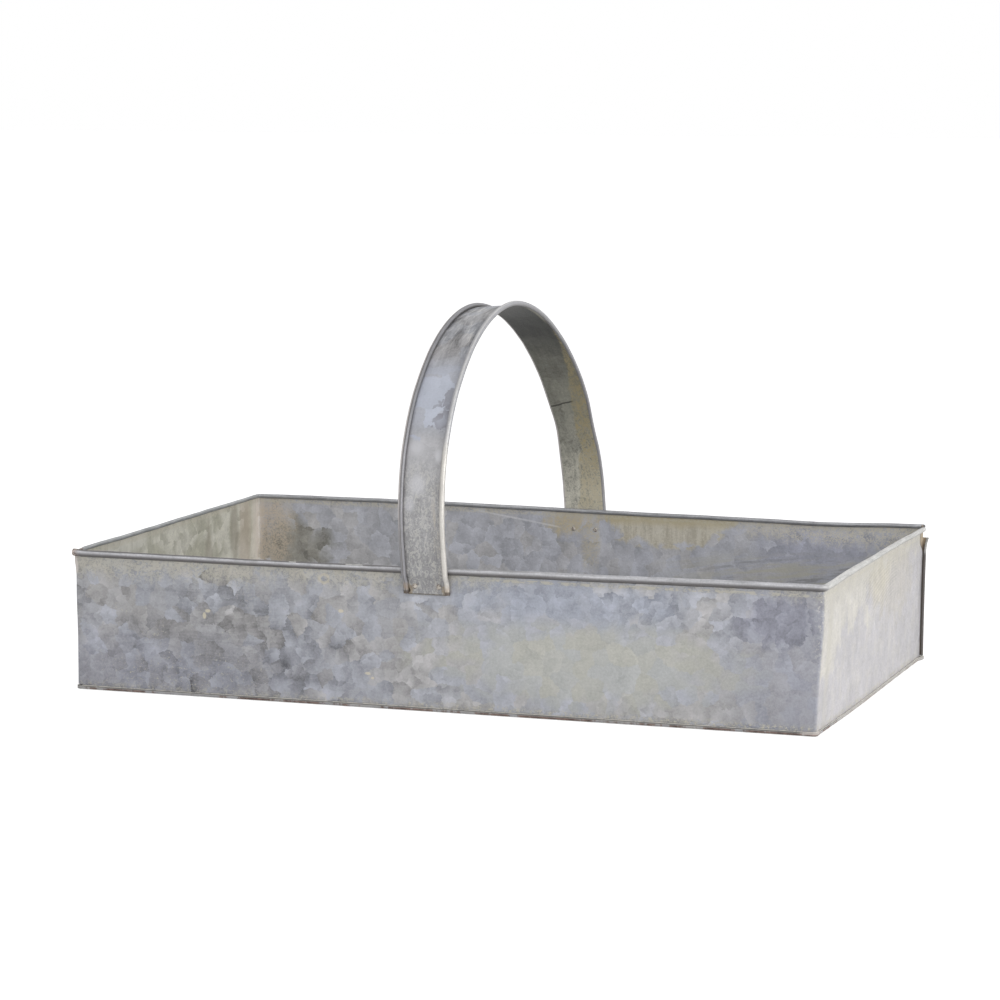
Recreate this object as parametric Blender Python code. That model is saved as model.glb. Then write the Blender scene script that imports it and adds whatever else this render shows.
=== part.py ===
"""Galvanised sheet-metal crate with a hooped strap handle.

Two L-shaped wall sheets close round a floor pan. Each one makes a long wall and a short wall, and
they lock together in a folded seam at two opposite corners. Their top edges are rolled round a wire.
A strap with wired edges arches over the middle and is riveted to both long walls.

X runs along the crate, Y across it towards the back, Z up. The origin is on the surface that the
crate stands on, under its middle.
"""

import math

import bmesh
import bpy

# Driving dimensions of the box, in metres
LENGTH = 0.600
WIDTH = 0.368
WALL_TOP = 0.1135
SHEET = 0.0006
CLEARANCE = 0.0003
CORNER_RADIUS = 0.004

# Rolled rim: outer size of the roll, and the tight bend where the sheet turns in under it
RIM_ROLL = 0.0056
RIM_NECK_RADIUS = 0.0012

# Folded corner seams: how far they stand out past the end wall, and how their open tops spread
SEAM_REACH = 0.003
SEAM_TOP_DROP = 0.004
SEAM_SPREAD = 0.0038
SEAM_SPREAD_HEIGHT = 0.013

# Floor pan: height of its turned-up edge
PAN_EDGE = 0.0033

# Handle: overall height, strap width over the rolled edges, roll size and where the arch springs
HANDLE_TOP = 0.3052
STRAP_WIDTH = 0.0376
STRAP_ROLL = 0.0042
ARCH_SPRING = 0.1333
FOOT_LAP = 0.0174
JOGGLE_RADIUS = 0.008
ROLL_STOP = 0.0008
WIRE_RECESS = 0.0006

# The hoop as it stands: offset of its middle, how far apart its feet are shifted, and its lean
HANDLE_OFFSET = -0.0012
FEET_SHIFT = 0.0131
LEAN_ANGLE = math.radians(4.4)

# Rivets: how far in from the strap's edges and up from its ends they sit, and their parts
RIVET_INSET = 0.0090
RIVET_RISE = 0.0066
RIVET_SHANK = 0.0024
RIVET_HEAD = 0.0042
RIVET_HEAD_HEIGHT = 0.0010
RIVET_TAIL = 0.0036
RIVET_TAIL_HEIGHT = 0.0008

CUT_OVERRUN = 0.002

# Shapes without a length: angles, the arch's fullness (2 is a plain ellipse) and segment counts
RIM_ENTRY_ANGLE = math.radians(25)
RIM_ROLL_ANGLE = math.radians(350)
STRAP_ROLL_ANGLE = math.radians(300)
STRAP_FOOT_ANGLE = math.radians(75)
ARCH_FULLNESS = 1.88
CORNER_STEPS = 5
FOLD_STEPS = 4
RIM_STEPS = 16
NECK_STEPS = 3
SPREAD_STEPS = 4
STRAP_ROLL_STEPS = 8
JOGGLE_STEPS = 3
ARCH_STEPS = 20
WIRE_SIDES = 8
RIVET_SIDES = 14
DOME_STEPS = 3

# Places that follow from the sizes above
HALF_LENGTH = LENGTH / 2
HALF_WIDTH = WIDTH / 2
LAYER = SHEET + CLEARANCE
WALL_BOTTOM = SHEET + CLEARANCE
RIM_RADIUS = RIM_ROLL / 2 - SHEET / 2
RIM_CENTRE = WALL_TOP - RIM_ROLL / 2
SEAM_BOTTOM = PAN_EDGE + 2 * CLEARANCE
SEAM_TOP = WALL_TOP - RIM_ROLL - SEAM_TOP_DROP
STRAP_RADIUS = STRAP_ROLL / 2 - SHEET / 2
STRAP_CENTRE = STRAP_WIDTH / 2 - STRAP_ROLL / 2
FOOT_BOTTOM = WALL_TOP - RIM_ROLL - FOOT_LAP
FOOT_Y = HALF_WIDTH + CLEARANCE + SHEET / 2
LEG_Y = FOOT_Y + RIM_ROLL / 2 - SHEET / 2
ARCH_TILT = STRAP_CENTRE * math.sin(LEAN_ANGLE)
ARCH_RISE = HANDLE_TOP - STRAP_ROLL + SHEET / 2 - ARCH_TILT - ARCH_SPRING


def clear_scene():
    for old in list(bpy.data.objects):
        bpy.data.objects.remove(old, do_unlink=True)


def metal(name, colour, roughness, metallic):
    material = bpy.data.materials.new(name)
    material.use_nodes = True
    shader = material.node_tree.nodes["Principled BSDF"]
    shader.inputs["Base Color"].default_value = (*colour, 1.0)
    shader.inputs["Roughness"].default_value = roughness
    shader.inputs["Metallic"].default_value = metallic
    return material


def add_object(name, mesh_maker, material):
    """Make one named object from a bmesh, with smooth rolls and sharp folds."""
    mesh = bpy.data.meshes.new(name)
    mesh_maker.to_mesh(mesh)
    mesh_maker.free()
    mesh.shade_smooth()
    mesh.set_sharp_from_angle(angle=math.radians(35))
    mesh.materials.append(material)
    thing = bpy.data.objects.new(name, mesh)
    bpy.context.scene.collection.objects.link(thing)
    return thing


def thicken(thing):
    """Give a folded middle surface its sheet thickness, half to each side."""
    wall = thing.modifiers.new("sheet", "SOLIDIFY")
    wall.thickness = SHEET
    wall.offset = 0.0
    wall.use_even_offset = True
    wall.use_rim = True


def drill(thing, holes):
    for index, hole in enumerate(holes):
        cut = thing.modifiers.new(f"rivet_hole_{index}", "BOOLEAN")
        cut.operation = "DIFFERENCE"
        cut.solver = "EXACT"
        cut.object = hole


def folded_sheet(name, columns, rows, point, kept, material):
    """A sheet folded from a flat pattern: cells of a grid that are kept, each corner placed by point."""
    maker = bmesh.new()
    made = {}

    def corner(column, row):
        if (column, row) not in made:
            made[column, row] = maker.verts.new(point(column, row))
        return made[column, row]

    for column in range(columns - 1):
        for row in range(rows - 1):
            if kept(column, row):
                ring = ((column, row), (column + 1, row), (column + 1, row + 1), (column, row + 1))
                maker.faces.new([corner(*at) for at in ring])
    thing = add_object(name, maker, material)
    thicken(thing)
    return thing


def arc(centre, radius, start, end, steps):
    """Points on a circle, from the angle start to the angle end."""
    angles = [start + (end - start) * step / steps for step in range(steps + 1)]
    return [(centre[0] + radius * math.cos(a), centre[1] + radius * math.sin(a)) for a in angles]


def rim_profile():
    """The wall's section as (outward, height): straight up, in under the roll, then round the wire."""
    rows = [(0.0, WALL_BOTTOM), (0.0, SEAM_BOTTOM)]
    spread_base = SEAM_TOP - SEAM_SPREAD_HEIGHT
    for step in range(SPREAD_STEPS + 1):
        rows.append((0.0, spread_base + SEAM_SPREAD_HEIGHT * step / SPREAD_STEPS))
    entry = (-RIM_RADIUS * math.sin(RIM_ENTRY_ANGLE), RIM_CENTRE - RIM_RADIUS * math.cos(RIM_ENTRY_ANGLE))
    turn = math.pi / 2 - RIM_ENTRY_ANGLE
    neck_in = RIM_NECK_RADIUS * (1 - math.cos(turn))
    neck_up = RIM_NECK_RADIUS * math.sin(turn)
    run = (-entry[0] - neck_in) / math.sin(turn)
    neck_base = entry[1] - run * math.cos(turn) - neck_up
    centre = (-RIM_NECK_RADIUS, neck_base)
    rows += arc(centre, RIM_NECK_RADIUS, 0.0, turn, NECK_STEPS)
    for step in range(RIM_STEPS + 1):
        angle = RIM_ENTRY_ANGLE + (RIM_ROLL_ANGLE - RIM_ENTRY_ANGLE) * step / RIM_STEPS
        rows.append((-RIM_RADIUS * math.sin(angle), RIM_CENTRE - RIM_RADIUS * math.cos(angle)))
    return rows


def wall_plan():
    """The wall sheet seen from above, as columns (x, y, outward x, outward y), and where its parts start."""
    wall_y = -HALF_WIDTH + SHEET / 2
    wall_x = HALF_LENGTH - SHEET / 2
    fold_x = -HALF_LENGTH - SEAM_REACH + SHEET / 2 + LAYER
    hem = [(-HALF_LENGTH - CLEARANCE, wall_y + 2 * LAYER)]
    hem += arc((fold_x, wall_y + LAYER), LAYER, math.pi / 2, 3 * math.pi / 2, FOLD_STEPS)
    columns = [(x, y, 0.0, -1.0) for x, y in hem]
    first_corner = len(columns)
    columns.append((-HALF_LENGTH + SHEET + CLEARANCE, wall_y, 0.0, -1.0))
    bend = (HALF_LENGTH - CORNER_RADIUS, -HALF_WIDTH + CORNER_RADIUS)
    for step in range(CORNER_STEPS + 1):
        angle = -math.pi / 2 * (1 - step / CORNER_STEPS)
        out_x, out_y = math.cos(angle), math.sin(angle)
        radius = CORNER_RADIUS - SHEET / 2
        columns.append((bend[0] + radius * out_x, bend[1] + radius * out_y, out_x, out_y))
    flange_y = HALF_WIDTH - SHEET / 2 - LAYER
    last_corner = len(columns)
    columns.append((wall_x, flange_y - SHEET, 1.0, 0.0))
    flange = arc((wall_x + SHEET, flange_y - SHEET), SHEET, math.pi, math.pi / 2, FOLD_STEPS // 2)[1:]
    flange.append((HALF_LENGTH + SEAM_REACH - SHEET - CLEARANCE, flange_y))
    columns += [(x, y, 1.0, 0.0) for x, y in flange]
    return columns, first_corner, last_corner


def wall_sheet(name, turned, holes, material):
    """A long wall and a short wall in one sheet. The second one is the same sheet turned half round."""
    rows = rim_profile()
    columns, first_corner, last_corner = wall_plan()
    straight = 2 + SPREAD_STEPS + 1
    mitre = SHEET / 2 + CLEARANCE
    side = -1.0 if turned else 1.0

    def spread(height):
        share = max(0.0, (height - SEAM_TOP) / SEAM_SPREAD_HEIGHT + 1)
        return SEAM_SPREAD * share * share

    def point(column, row):
        x, y, out_x, out_y = columns[column]
        out, height = rows[row]
        x, y = x + out_x * out, y + out_y * out
        rolled = row > straight
        if column == first_corner:
            x = -HALF_LENGTH + SHEET / 2 - out + mitre
        if column == last_corner and rolled:
            y = HALF_WIDTH - SHEET / 2 + out - mitre
        if column < first_corner:
            x -= spread(height)
        return side * x, side * y, height

    def kept(column, row):
        in_seam = 0 < row < straight - 1
        return first_corner <= column < last_corner or in_seam

    thing = folded_sheet(name, len(columns), len(rows), point, kept, material)
    drill(thing, holes)
    return thing


def tube(name, path, radius, sides, material):
    """A round wire along path, whose stations are (middle, sideways, upwards, skew of the end cut)."""
    maker = bmesh.new()
    rings = []
    for middle, sideways, upwards, skew in path:
        ring = []
        for step in range(sides):
            angle = 2 * math.pi * step / sides
            out, up = radius * math.cos(angle), radius * math.sin(angle)
            place = [m + out * s + up * u + out * k for m, s, u, k in zip(middle, sideways, upwards, skew)]
            ring.append(maker.verts.new(place))
        rings.append(ring)
    for near, far in zip(rings, rings[1:]):
        for step in range(sides):
            after = (step + 1) % sides
            maker.faces.new((near[step], near[after], far[after], far[step]))
    maker.faces.new(list(reversed(rings[0])))
    maker.faces.new(rings[-1])
    bmesh.ops.recalc_face_normals(maker, faces=maker.faces)
    return add_object(name, maker, material)


def rim_wire(name, turned, material):
    """The wire in the rolled rim of one wall sheet, mitred at both ends as the roll is."""
    columns, first_corner, last_corner = wall_plan()
    side = -1.0 if turned else 1.0
    up = (0.0, 0.0, 1.0)
    path = []
    for column in range(first_corner, last_corner + 1):
        x, y, out_x, out_y = columns[column]
        skew = (0.0, 0.0, 0.0)
        if column == first_corner:
            x, skew = -HALF_LENGTH + SHEET / 2 + CLEARANCE, (-1.0, 0.0, 0.0)
        if column == last_corner:
            y, skew = HALF_WIDTH - SHEET / 2 - CLEARANCE, (0.0, 1.0, 0.0)
        middle = (side * x, side * y, RIM_CENTRE)
        skew = (side * skew[0], side * skew[1], 0.0)
        path.append((middle, (side * out_x, side * out_y, 0.0), up, skew))
    return tube(name, path, RIM_RADIUS - SHEET / 2 - CLEARANCE, WIRE_SIDES, material)


def floor_pan(material):
    """The floor and its edge, turned up outside the walls all the way round."""
    inner_bend = 2 * CLEARANCE
    bend = inner_bend + SHEET / 2
    edge_x = HALF_LENGTH + CLEARANCE + SHEET / 2
    edge_y = HALF_WIDTH + CLEARANCE + SHEET / 2
    bent_corner = CORNER_RADIUS + CLEARANCE + SHEET / 2
    seam_corner = 2 * LAYER
    section = arc((-bend, bend + SHEET / 2), bend, -math.pi / 2, 0.0, FOLD_STEPS // 2)
    section.append((0.0, PAN_EDGE))
    corners = (
        (edge_x, -edge_y, bent_corner, -math.pi / 2),
        (edge_x, edge_y, seam_corner, 0.0),
        (-edge_x, edge_y, bent_corner, math.pi / 2),
        (-edge_x, -edge_y, seam_corner, math.pi),
    )
    maker = bmesh.new()
    loops = []
    for out, height in section:
        loop = []
        for x, y, radius, start in corners:
            centre = (x - math.copysign(radius, x), y - math.copysign(radius, y))
            for px, py in arc(centre, radius + out, start, start + math.pi / 2, CORNER_STEPS):
                loop.append(maker.verts.new((px, py, height)))
        loops.append(loop)
    maker.faces.new(list(reversed(loops[0])))
    for low, high in zip(loops, loops[1:]):
        for index in range(len(low)):
            after = (index + 1) % len(low)
            maker.faces.new((low[index], low[after], high[after], high[index]))
    thing = add_object("floor_pan", maker, material)
    thicken(thing)
    return thing


def handle_x(y, z):
    """Middle of the strap along X at a point of the hoop, with the feet shifted and the hoop leaning."""
    return HANDLE_OFFSET + FEET_SHIFT * y / WIDTH - math.tan(LEAN_ANGLE) * (z - FOOT_BOTTOM)


def tilt(z):
    """The strap's angle across the hoop: level at its legs, and at the top square to the lean."""
    return LEAN_ANGLE * max(0.0, z - ARCH_SPRING) / ARCH_RISE


def half_hoop():
    """Half of the hoop's side view as (y, z), from the foot at the back up to the top."""
    step_out = LEG_Y - FOOT_Y
    turn = math.acos(1 - step_out / (2 * JOGGLE_RADIUS))
    joggle_top = WALL_TOP - RIM_ROLL
    joggle_bottom = joggle_top - 2 * JOGGLE_RADIUS * math.sin(turn)
    path = [(FOOT_Y, FOOT_BOTTOM), (FOOT_Y, FOOT_BOTTOM + ROLL_STOP)]
    lower = arc((FOOT_Y + JOGGLE_RADIUS, joggle_bottom), JOGGLE_RADIUS, math.pi, math.pi - turn, JOGGLE_STEPS)
    upper = arc((LEG_Y - JOGGLE_RADIUS, joggle_top), JOGGLE_RADIUS, -turn, 0.0, JOGGLE_STEPS)
    path += lower + upper[1:]
    for step in range(ARCH_STEPS + 1):
        angle = math.pi / 2 * step / ARCH_STEPS
        across = LEG_Y * max(0.0, math.cos(angle)) ** (2 / ARCH_FULLNESS)
        path.append((across, ARCH_SPRING + ARCH_RISE * math.sin(angle) ** (2 / ARCH_FULLNESS)))
    path[-1] = (0.0, ARCH_SPRING + ARCH_RISE)
    return path


def hoop_stations():
    """The whole hoop from the front foot to the back one: (y, z, outward y, outward z) at each station."""
    back = half_hoop()
    path = [(-y, z) for y, z in back[:-1]] + list(reversed(back))
    stations = []
    for index, (y, z) in enumerate(path):
        before = path[max(index - 1, 0)]
        after = path[min(index + 1, len(path) - 1)]
        run, rise = after[0] - before[0], after[1] - before[1]
        size = math.hypot(run, rise)
        stations.append((y, z, -rise / size, run / size))
    return stations


def strap_section():
    """Across the strap as (sideways, outward): roll, flat web, roll, and the columns that reach the foot."""
    angles = [STRAP_ROLL_ANGLE * step / STRAP_ROLL_STEPS for step in range(STRAP_ROLL_STEPS + 1)]
    right = [(STRAP_CENTRE + STRAP_RADIUS * math.sin(a), STRAP_RADIUS * (1 - math.cos(a))) for a in angles]
    left = [(-across, out) for across, out in reversed(right)]
    curled = sum(angle < STRAP_FOOT_ANGLE for angle in angles)
    columns = left + [(0.0, 0.0)] + right
    return columns, len(left) - curled, len(columns) - len(right) + curled - 1


def handle_strap(holes, material):
    stations = hoop_stations()
    section, foot_start, foot_end = strap_section()
    last = len(stations) - 2

    def point(column, row):
        y, z, out_y, out_z = stations[row]
        across, out = section[column]
        lean = tilt(z)
        x = handle_x(y, z) + across * math.cos(lean) - out_z * out * math.sin(lean)
        return x, y + out_y * out, z + across * math.sin(lean) + out_z * out * math.cos(lean)

    def kept(column, row):
        return 0 < row < last or foot_start <= column < foot_end

    thing = folded_sheet("handle_strap", len(section), len(stations), point, kept, material)
    drill(thing, holes)
    return thing


def handle_wire(name, side, material):
    """The wire in one rolled edge of the strap. It stops just inside the roll at both feet."""
    path = []
    stations = hoop_stations()[1:-1]
    for index, (y, z, out_y, out_z) in enumerate(stations):
        if index in (0, len(stations) - 1):
            z += WIRE_RECESS
        lean = tilt(z)
        level, rise = math.cos(lean), math.sin(lean)
        sideways = (level, 0.0, rise)
        upwards = (-out_z * rise, out_y, out_z * level)
        across, out = side * STRAP_CENTRE, STRAP_RADIUS
        middle = [m + s * across + u * out for m, s, u in zip((handle_x(y, z), y, z), sideways, upwards)]
        path.append((middle, sideways, upwards, (0.0, 0.0, 0.0)))
    return tube(name, path, STRAP_RADIUS - SHEET / 2 - CLEARANCE, WIRE_SIDES, material)


def rivet_places():
    """Name, x, height and side (-1 front, 1 back) of each rivet."""
    height = FOOT_BOTTOM + RIVET_RISE
    across = STRAP_WIDTH / 2 - RIVET_INSET
    for where, side in (("front", -1.0), ("rear", 1.0)):
        for hand, shift in (("left", -across), ("right", across)):
            yield f"{where}_{hand}", handle_x(side * FOOT_Y, height) + shift, height, side


def rivet(name, x, height, side, material):
    """A rivet turned about Y: domed head outside the strap, shank, and domed tail inside the wall."""
    head_face = HALF_WIDTH + LAYER + CLEARANCE
    tail_face = HALF_WIDTH - SHEET - CLEARANCE
    quarter = [math.pi / 2 * step / DOME_STEPS for step in range(DOME_STEPS)]
    head = [(RIVET_HEAD / 2 * math.cos(a), head_face + RIVET_HEAD_HEIGHT * math.sin(a)) for a in quarter]
    tail = [(RIVET_TAIL / 2 * math.cos(a), tail_face - RIVET_TAIL_HEIGHT * math.sin(a)) for a in quarter]
    profile = list(reversed(head)) + [(RIVET_SHANK / 2, head_face), (RIVET_SHANK / 2, tail_face)] + tail
    maker = bmesh.new()
    rings = []
    for radius, along in profile:
        ring = []
        for step in range(RIVET_SIDES):
            angle = 2 * math.pi * step / RIVET_SIDES
            place = (x + radius * math.cos(angle), side * along, height + radius * math.sin(angle))
            ring.append(maker.verts.new(place))
        rings.append(ring)
    ends = (
        maker.verts.new((x, side * (head_face + RIVET_HEAD_HEIGHT), height)),
        maker.verts.new((x, side * (tail_face - RIVET_TAIL_HEIGHT), height)),
    )
    for step in range(RIVET_SIDES):
        after = (step + 1) % RIVET_SIDES
        maker.faces.new((ends[0], rings[0][step], rings[0][after]))
        maker.faces.new((ends[1], rings[-1][after], rings[-1][step]))
        for near, far in zip(rings, rings[1:]):
            maker.faces.new((near[step], far[step], far[after], near[after]))
    bmesh.ops.recalc_face_normals(maker, faces=maker.faces)
    return add_object(f"rivet_{name}", maker, material)


def rivet_hole(name, x, height, side, material):
    """A cutter through the strap's foot and the wall behind it."""
    outer = HALF_WIDTH + LAYER + CUT_OVERRUN
    inner = HALF_WIDTH - SHEET - CUT_OVERRUN
    up = (0.0, 0.0, 1.0)
    across = (1.0, 0.0, 0.0)
    none = (0.0, 0.0, 0.0)
    path = [((x, side * along, height), across, up, none) for along in (inner, outer)]
    cutter = tube(f"rivet_hole_{name}", path, RIVET_SHANK / 2 + CLEARANCE, RIVET_SIDES, material)
    cutter.hide_render = True
    cutter.display_type = "WIRE"
    return cutter


def build():
    clear_scene()
    zinc_wall = metal("zinc_walls", (0.36, 0.36, 0.38), 0.55, 0.6)
    zinc_floor = metal("zinc_floor", (0.30, 0.30, 0.31), 0.6, 0.6)
    zinc_strap = metal("zinc_strap", (0.38, 0.37, 0.36), 0.5, 0.6)
    steel_wire = metal("steel_wire", (0.16, 0.12, 0.10), 0.6, 0.8)
    rivet_metal = metal("rivet_metal", (0.45, 0.43, 0.38), 0.5, 0.7)
    holes = {-1.0: [], 1.0: []}
    for name, x, height, side in rivet_places():
        holes[side].append(rivet_hole(name, x, height, side, rivet_metal))
        rivet(name, x, height, side, rivet_metal)
    wall_sheet("wall_sheet_front_right", False, holes[-1.0], zinc_wall)
    wall_sheet("wall_sheet_rear_left", True, holes[1.0], zinc_wall)
    rim_wire("rim_wire_front_right", False, steel_wire)
    rim_wire("rim_wire_rear_left", True, steel_wire)
    floor_pan(zinc_floor)
    handle_strap(holes[-1.0] + holes[1.0], zinc_strap)
    handle_wire("handle_wire_left", -1.0, steel_wire)
    handle_wire("handle_wire_right", 1.0, steel_wire)


build()
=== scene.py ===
"""Galvanised sheet-metal crate with a hooped strap handle, dressed for a product picture.

The sections follow the crate as a tinsmith puts it together: floor pan, two wall sheets, the wires in
their rims, the strap with its wires, and the fixings at its feet. The studio comes last.
X runs along the crate, Y across it towards the back, Z up, all in metres.
"""

import math

import bpy
import numpy as np
from mathutils import Matrix


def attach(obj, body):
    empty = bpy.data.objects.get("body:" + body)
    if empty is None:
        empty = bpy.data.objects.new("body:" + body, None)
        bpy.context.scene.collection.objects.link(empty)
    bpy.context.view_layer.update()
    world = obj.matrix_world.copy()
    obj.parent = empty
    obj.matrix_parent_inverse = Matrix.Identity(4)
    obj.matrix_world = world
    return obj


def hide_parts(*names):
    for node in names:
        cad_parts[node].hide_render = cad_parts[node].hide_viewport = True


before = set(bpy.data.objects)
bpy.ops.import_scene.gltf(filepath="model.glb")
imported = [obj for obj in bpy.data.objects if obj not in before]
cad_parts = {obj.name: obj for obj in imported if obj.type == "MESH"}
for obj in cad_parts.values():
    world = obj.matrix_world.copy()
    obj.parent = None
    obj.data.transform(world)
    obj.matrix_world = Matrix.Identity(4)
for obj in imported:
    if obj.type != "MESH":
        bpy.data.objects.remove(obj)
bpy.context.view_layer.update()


# Floor pan. A flat sheet of galvanised steel whose edge is turned up outside the walls all round.
# From outside only that low edge shows, dull and rusty where the coating has worn off.

HALF_LENGTH = 0.3
HALF_WIDTH = 0.184
SHEET = 0.0006
CLEARANCE = 0.0003
LAYER = SHEET + CLEARANCE
WALL_TOP = 0.1135
CORNER_RADIUS = 0.004
WALL_BEND = 0.0026
PAN_EDGE = 0.0033
PAN_RISE = 0.0009
PAN_EAR = 0.003
PAN_EAR_RUN = 0.01
KNOCK_REACH = 0.075
FRONT_KNOCK = 0.0024
REAR_KNOCK = 0.001
TWIST_ALONG = 0.00006
TWIST_BACK = 0.000925
TWIST_SADDLE = -0.00118
PAN_STEP = 0.006
PAN_BUCKLE = 0.0008
PAN_INNERMOST = 0.03
PAN_FLAT_MARK = -0.01
SHARP_ANGLE = math.radians(38)


def settled(points):
    """The crate's slight twist and its knocked right corners. Each height grows by height / rim height
    times a saddle of x and y. Near a right corner x shifts by a Gaussian's share of the knock."""
    x, y = points[..., 0], points[..., 1]
    share = np.clip(points[..., 2] / WALL_TOP, 0.0, 1.0)
    across, back = x / HALF_LENGTH, y / HALF_WIDTH
    at_front, at_rear = (
        np.exp(-((x - HALF_LENGTH) ** 2 + (y - side * HALF_WIDTH) ** 2) / KNOCK_REACH**2) for side in (-1, 1)
    )
    moved = points.copy()
    moved[..., 2] += share * (TWIST_ALONG * across + TWIST_BACK * back + TWIST_SADDLE * across * back)
    moved[..., 0] -= FRONT_KNOCK * at_front * np.cos(math.pi * np.minimum(share / 0.9, 1.0))
    moved[..., 0] += REAR_KNOCK * at_rear * (0.4 + 1.4 * share**2)
    return moved


def arc(centre, radius, start, end, steps):
    """Points centre + radius * (cos a, sin a) for steps + 1 equal angles a from start to end."""
    angle = np.linspace(start, end, steps + 1)
    return np.stack([centre[0] + radius * np.cos(angle), centre[1] + radius * np.sin(angle)], axis=1)


def travelled(points):
    """The distance along a row of points from the first of them."""
    return np.concatenate([[0.0], np.cumsum(np.linalg.norm(np.diff(points, axis=0), axis=1))])


def make_object(name, points, faces, finishes, slots, lay, roll=None):
    """A mesh from points and a list of face arrays, with its finishes and its pattern coordinates."""
    mesh = bpy.data.meshes.new(name)
    used, renumbered = np.unique(np.concatenate([f.ravel() for f in faces]), return_inverse=True)
    lists, start = [], 0
    for block in faces:
        lists += renumbered[start : start + block.size].reshape(block.shape).tolist()
        start += block.size
    mesh.from_pydata(points[used].tolist(), [], lists)
    for finish in finishes:
        mesh.materials.append(finish)
    mesh.polygons.foreach_set("material_index", np.concatenate(slots).astype(np.int32))
    place = mesh.attributes.new("lay", "FLOAT_VECTOR", "POINT")
    place.data.foreach_set("vector", lay[used].astype(np.float32).ravel())
    if roll is not None:
        turn = mesh.attributes.new("roll", "FLOAT", "POINT")
        turn.data.foreach_set("value", roll[used].astype(np.float32))
    mesh.shade_smooth()
    mesh.set_sharp_from_angle(angle=SHARP_ANGLE)
    thing = bpy.data.objects.new(name, mesh)
    bpy.context.scene.collection.objects.link(thing)
    return thing


def sheet_normals(points, closed):
    """Unit normal of a grid of points: (step to the next column) x (step to the next row)."""
    if closed:
        run = np.roll(points, -1, axis=0) - np.roll(points, 1, axis=0)
    else:
        run = np.gradient(points, axis=0)
    rise = np.gradient(points, axis=1)
    normal = np.cross(run, rise)
    return normal / np.maximum(np.linalg.norm(normal, axis=2, keepdims=True), 1e-12)


def sheet_metal(name, middle, kept, finishes, outer, inner, lay, roll=None, closed=False, caps=()):
    """A thin sheet from its middle surface: middle plus and minus half the sheet along the normal,
    joined by a strip along every edge where a kept cell has no kept neighbour."""
    columns, rows = middle.shape[:2]
    normal = sheet_normals(middle, closed)
    points = np.concatenate([(middle + side * normal * SHEET / 2).reshape(-1, 3) for side in (1, -1)])
    index = np.arange(columns * rows).reshape(columns, rows)
    beyond = np.roll(index, -1, axis=0)
    here, after = (index, beyond) if closed else (index[:-1], beyond[:-1])
    a, b, c, d = here[:, :-1], after[:, :-1], after[:, 1:], here[:, 1:]
    under = columns * rows
    faces = [np.stack([a, b, c, d], axis=2)[kept], np.stack([a, d, c, b], axis=2)[kept] + under]
    slots = [outer[kept], inner[kept]]
    walled = np.pad(kept, 1, constant_values=False)
    if closed:
        walled[0, 1:-1], walled[-1, 1:-1] = kept[-1], kept[0]
    edges = (
        (a, b, walled[1:-1, :-2]),
        (b, c, walled[2:, 1:-1]),
        (c, d, walled[1:-1, 2:]),
        (d, a, walled[:-2, 1:-1]),
    )
    for near, far, neighbour in edges:
        open_edge = kept & ~neighbour
        strip = np.stack([far, near, near + under, far + under], axis=2)[open_edge]
        faces.append(strip)
        slots.append(outer[open_edge])
    for ring, flip in caps:
        for offset, turn in ((0, flip), (under, not flip)):
            loop = index[:, ring] + offset
            faces.append((loop[::-1] if turn else loop)[None, :])
            slots.append(np.array([0]))
    both_lay = np.tile(lay.reshape(under, -1), (2, 1))
    both_roll = None if roll is None else np.tile(roll.ravel(), 2)
    return make_object(name, points, faces, finishes, slots, both_lay, both_roll)


class Value:
    """A number or colour in a node tree. Python's operators on it add Math nodes, and a | b is the
    larger of the two."""

    def __init__(self, finish, socket):
        self.finish = finish
        self.socket = socket

    def __add__(self, other):
        return self.finish.maths("ADD", self, other)

    def __sub__(self, other):
        return self.finish.maths("SUBTRACT", self, other)

    def __rsub__(self, other):
        return self.finish.maths("SUBTRACT", other, self)

    def __mul__(self, other):
        return self.finish.maths("MULTIPLY", self, other)

    def __or__(self, other):
        return self.finish.maths("MAXIMUM", self, other)

    def __abs__(self):
        return self.finish.maths("ABSOLUTE", self)

    __radd__ = __add__
    __rmul__ = __mul__

    def ramp(self, low, high):
        """0 at low and 1 at high, with a smooth step from one to the other."""
        limits = {"Value": self, "From Min": low, "From Max": high}
        return self.finish.node("MapRange", limits, interpolation_type="SMOOTHSTEP")

    def band(self, start, full, late, end):
        """0 at start, 1 from full to late and 0 at end, with smooth steps."""
        return self.ramp(start, full) * self.ramp(end, late)


class Nodes:
    """A node tree under way."""

    def __init__(self, tree):
        self.tree = tree

    def feed(self, made, inputs):
        """Gives a node's sockets their values or links."""
        for key, value in inputs.items():
            if isinstance(value, Value):
                self.tree.links.new(value.socket, made.inputs[key])
            else:
                made.inputs[key].default_value = value

    def node(self, kind, inputs, give=0, **settings):
        """Adds a node: first its settings, then its sockets. Returns what it gives."""
        made = self.tree.nodes.new("ShaderNode" + kind)
        for key, value in settings.items():
            setattr(made, key, value)
        self.feed(made, inputs)
        if isinstance(give, tuple):
            return [Value(self, made.outputs[key]) for key in give]
        return Value(self, made.outputs[give])

    def maths(self, operation, first, second=0.0):
        return self.node("Math", {0: first, 1: second}, operation=operation)

    def seen(self):
        """1 where a ray comes from the camera or by way of a mirroring or clear surface, otherwise 0."""
        rays = self.node("LightPath", {}, give=("Is Camera Ray", "Is Glossy Ray", "Is Transmission Ray"))
        return rays[0] | rays[1] | rays[2]


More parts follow.
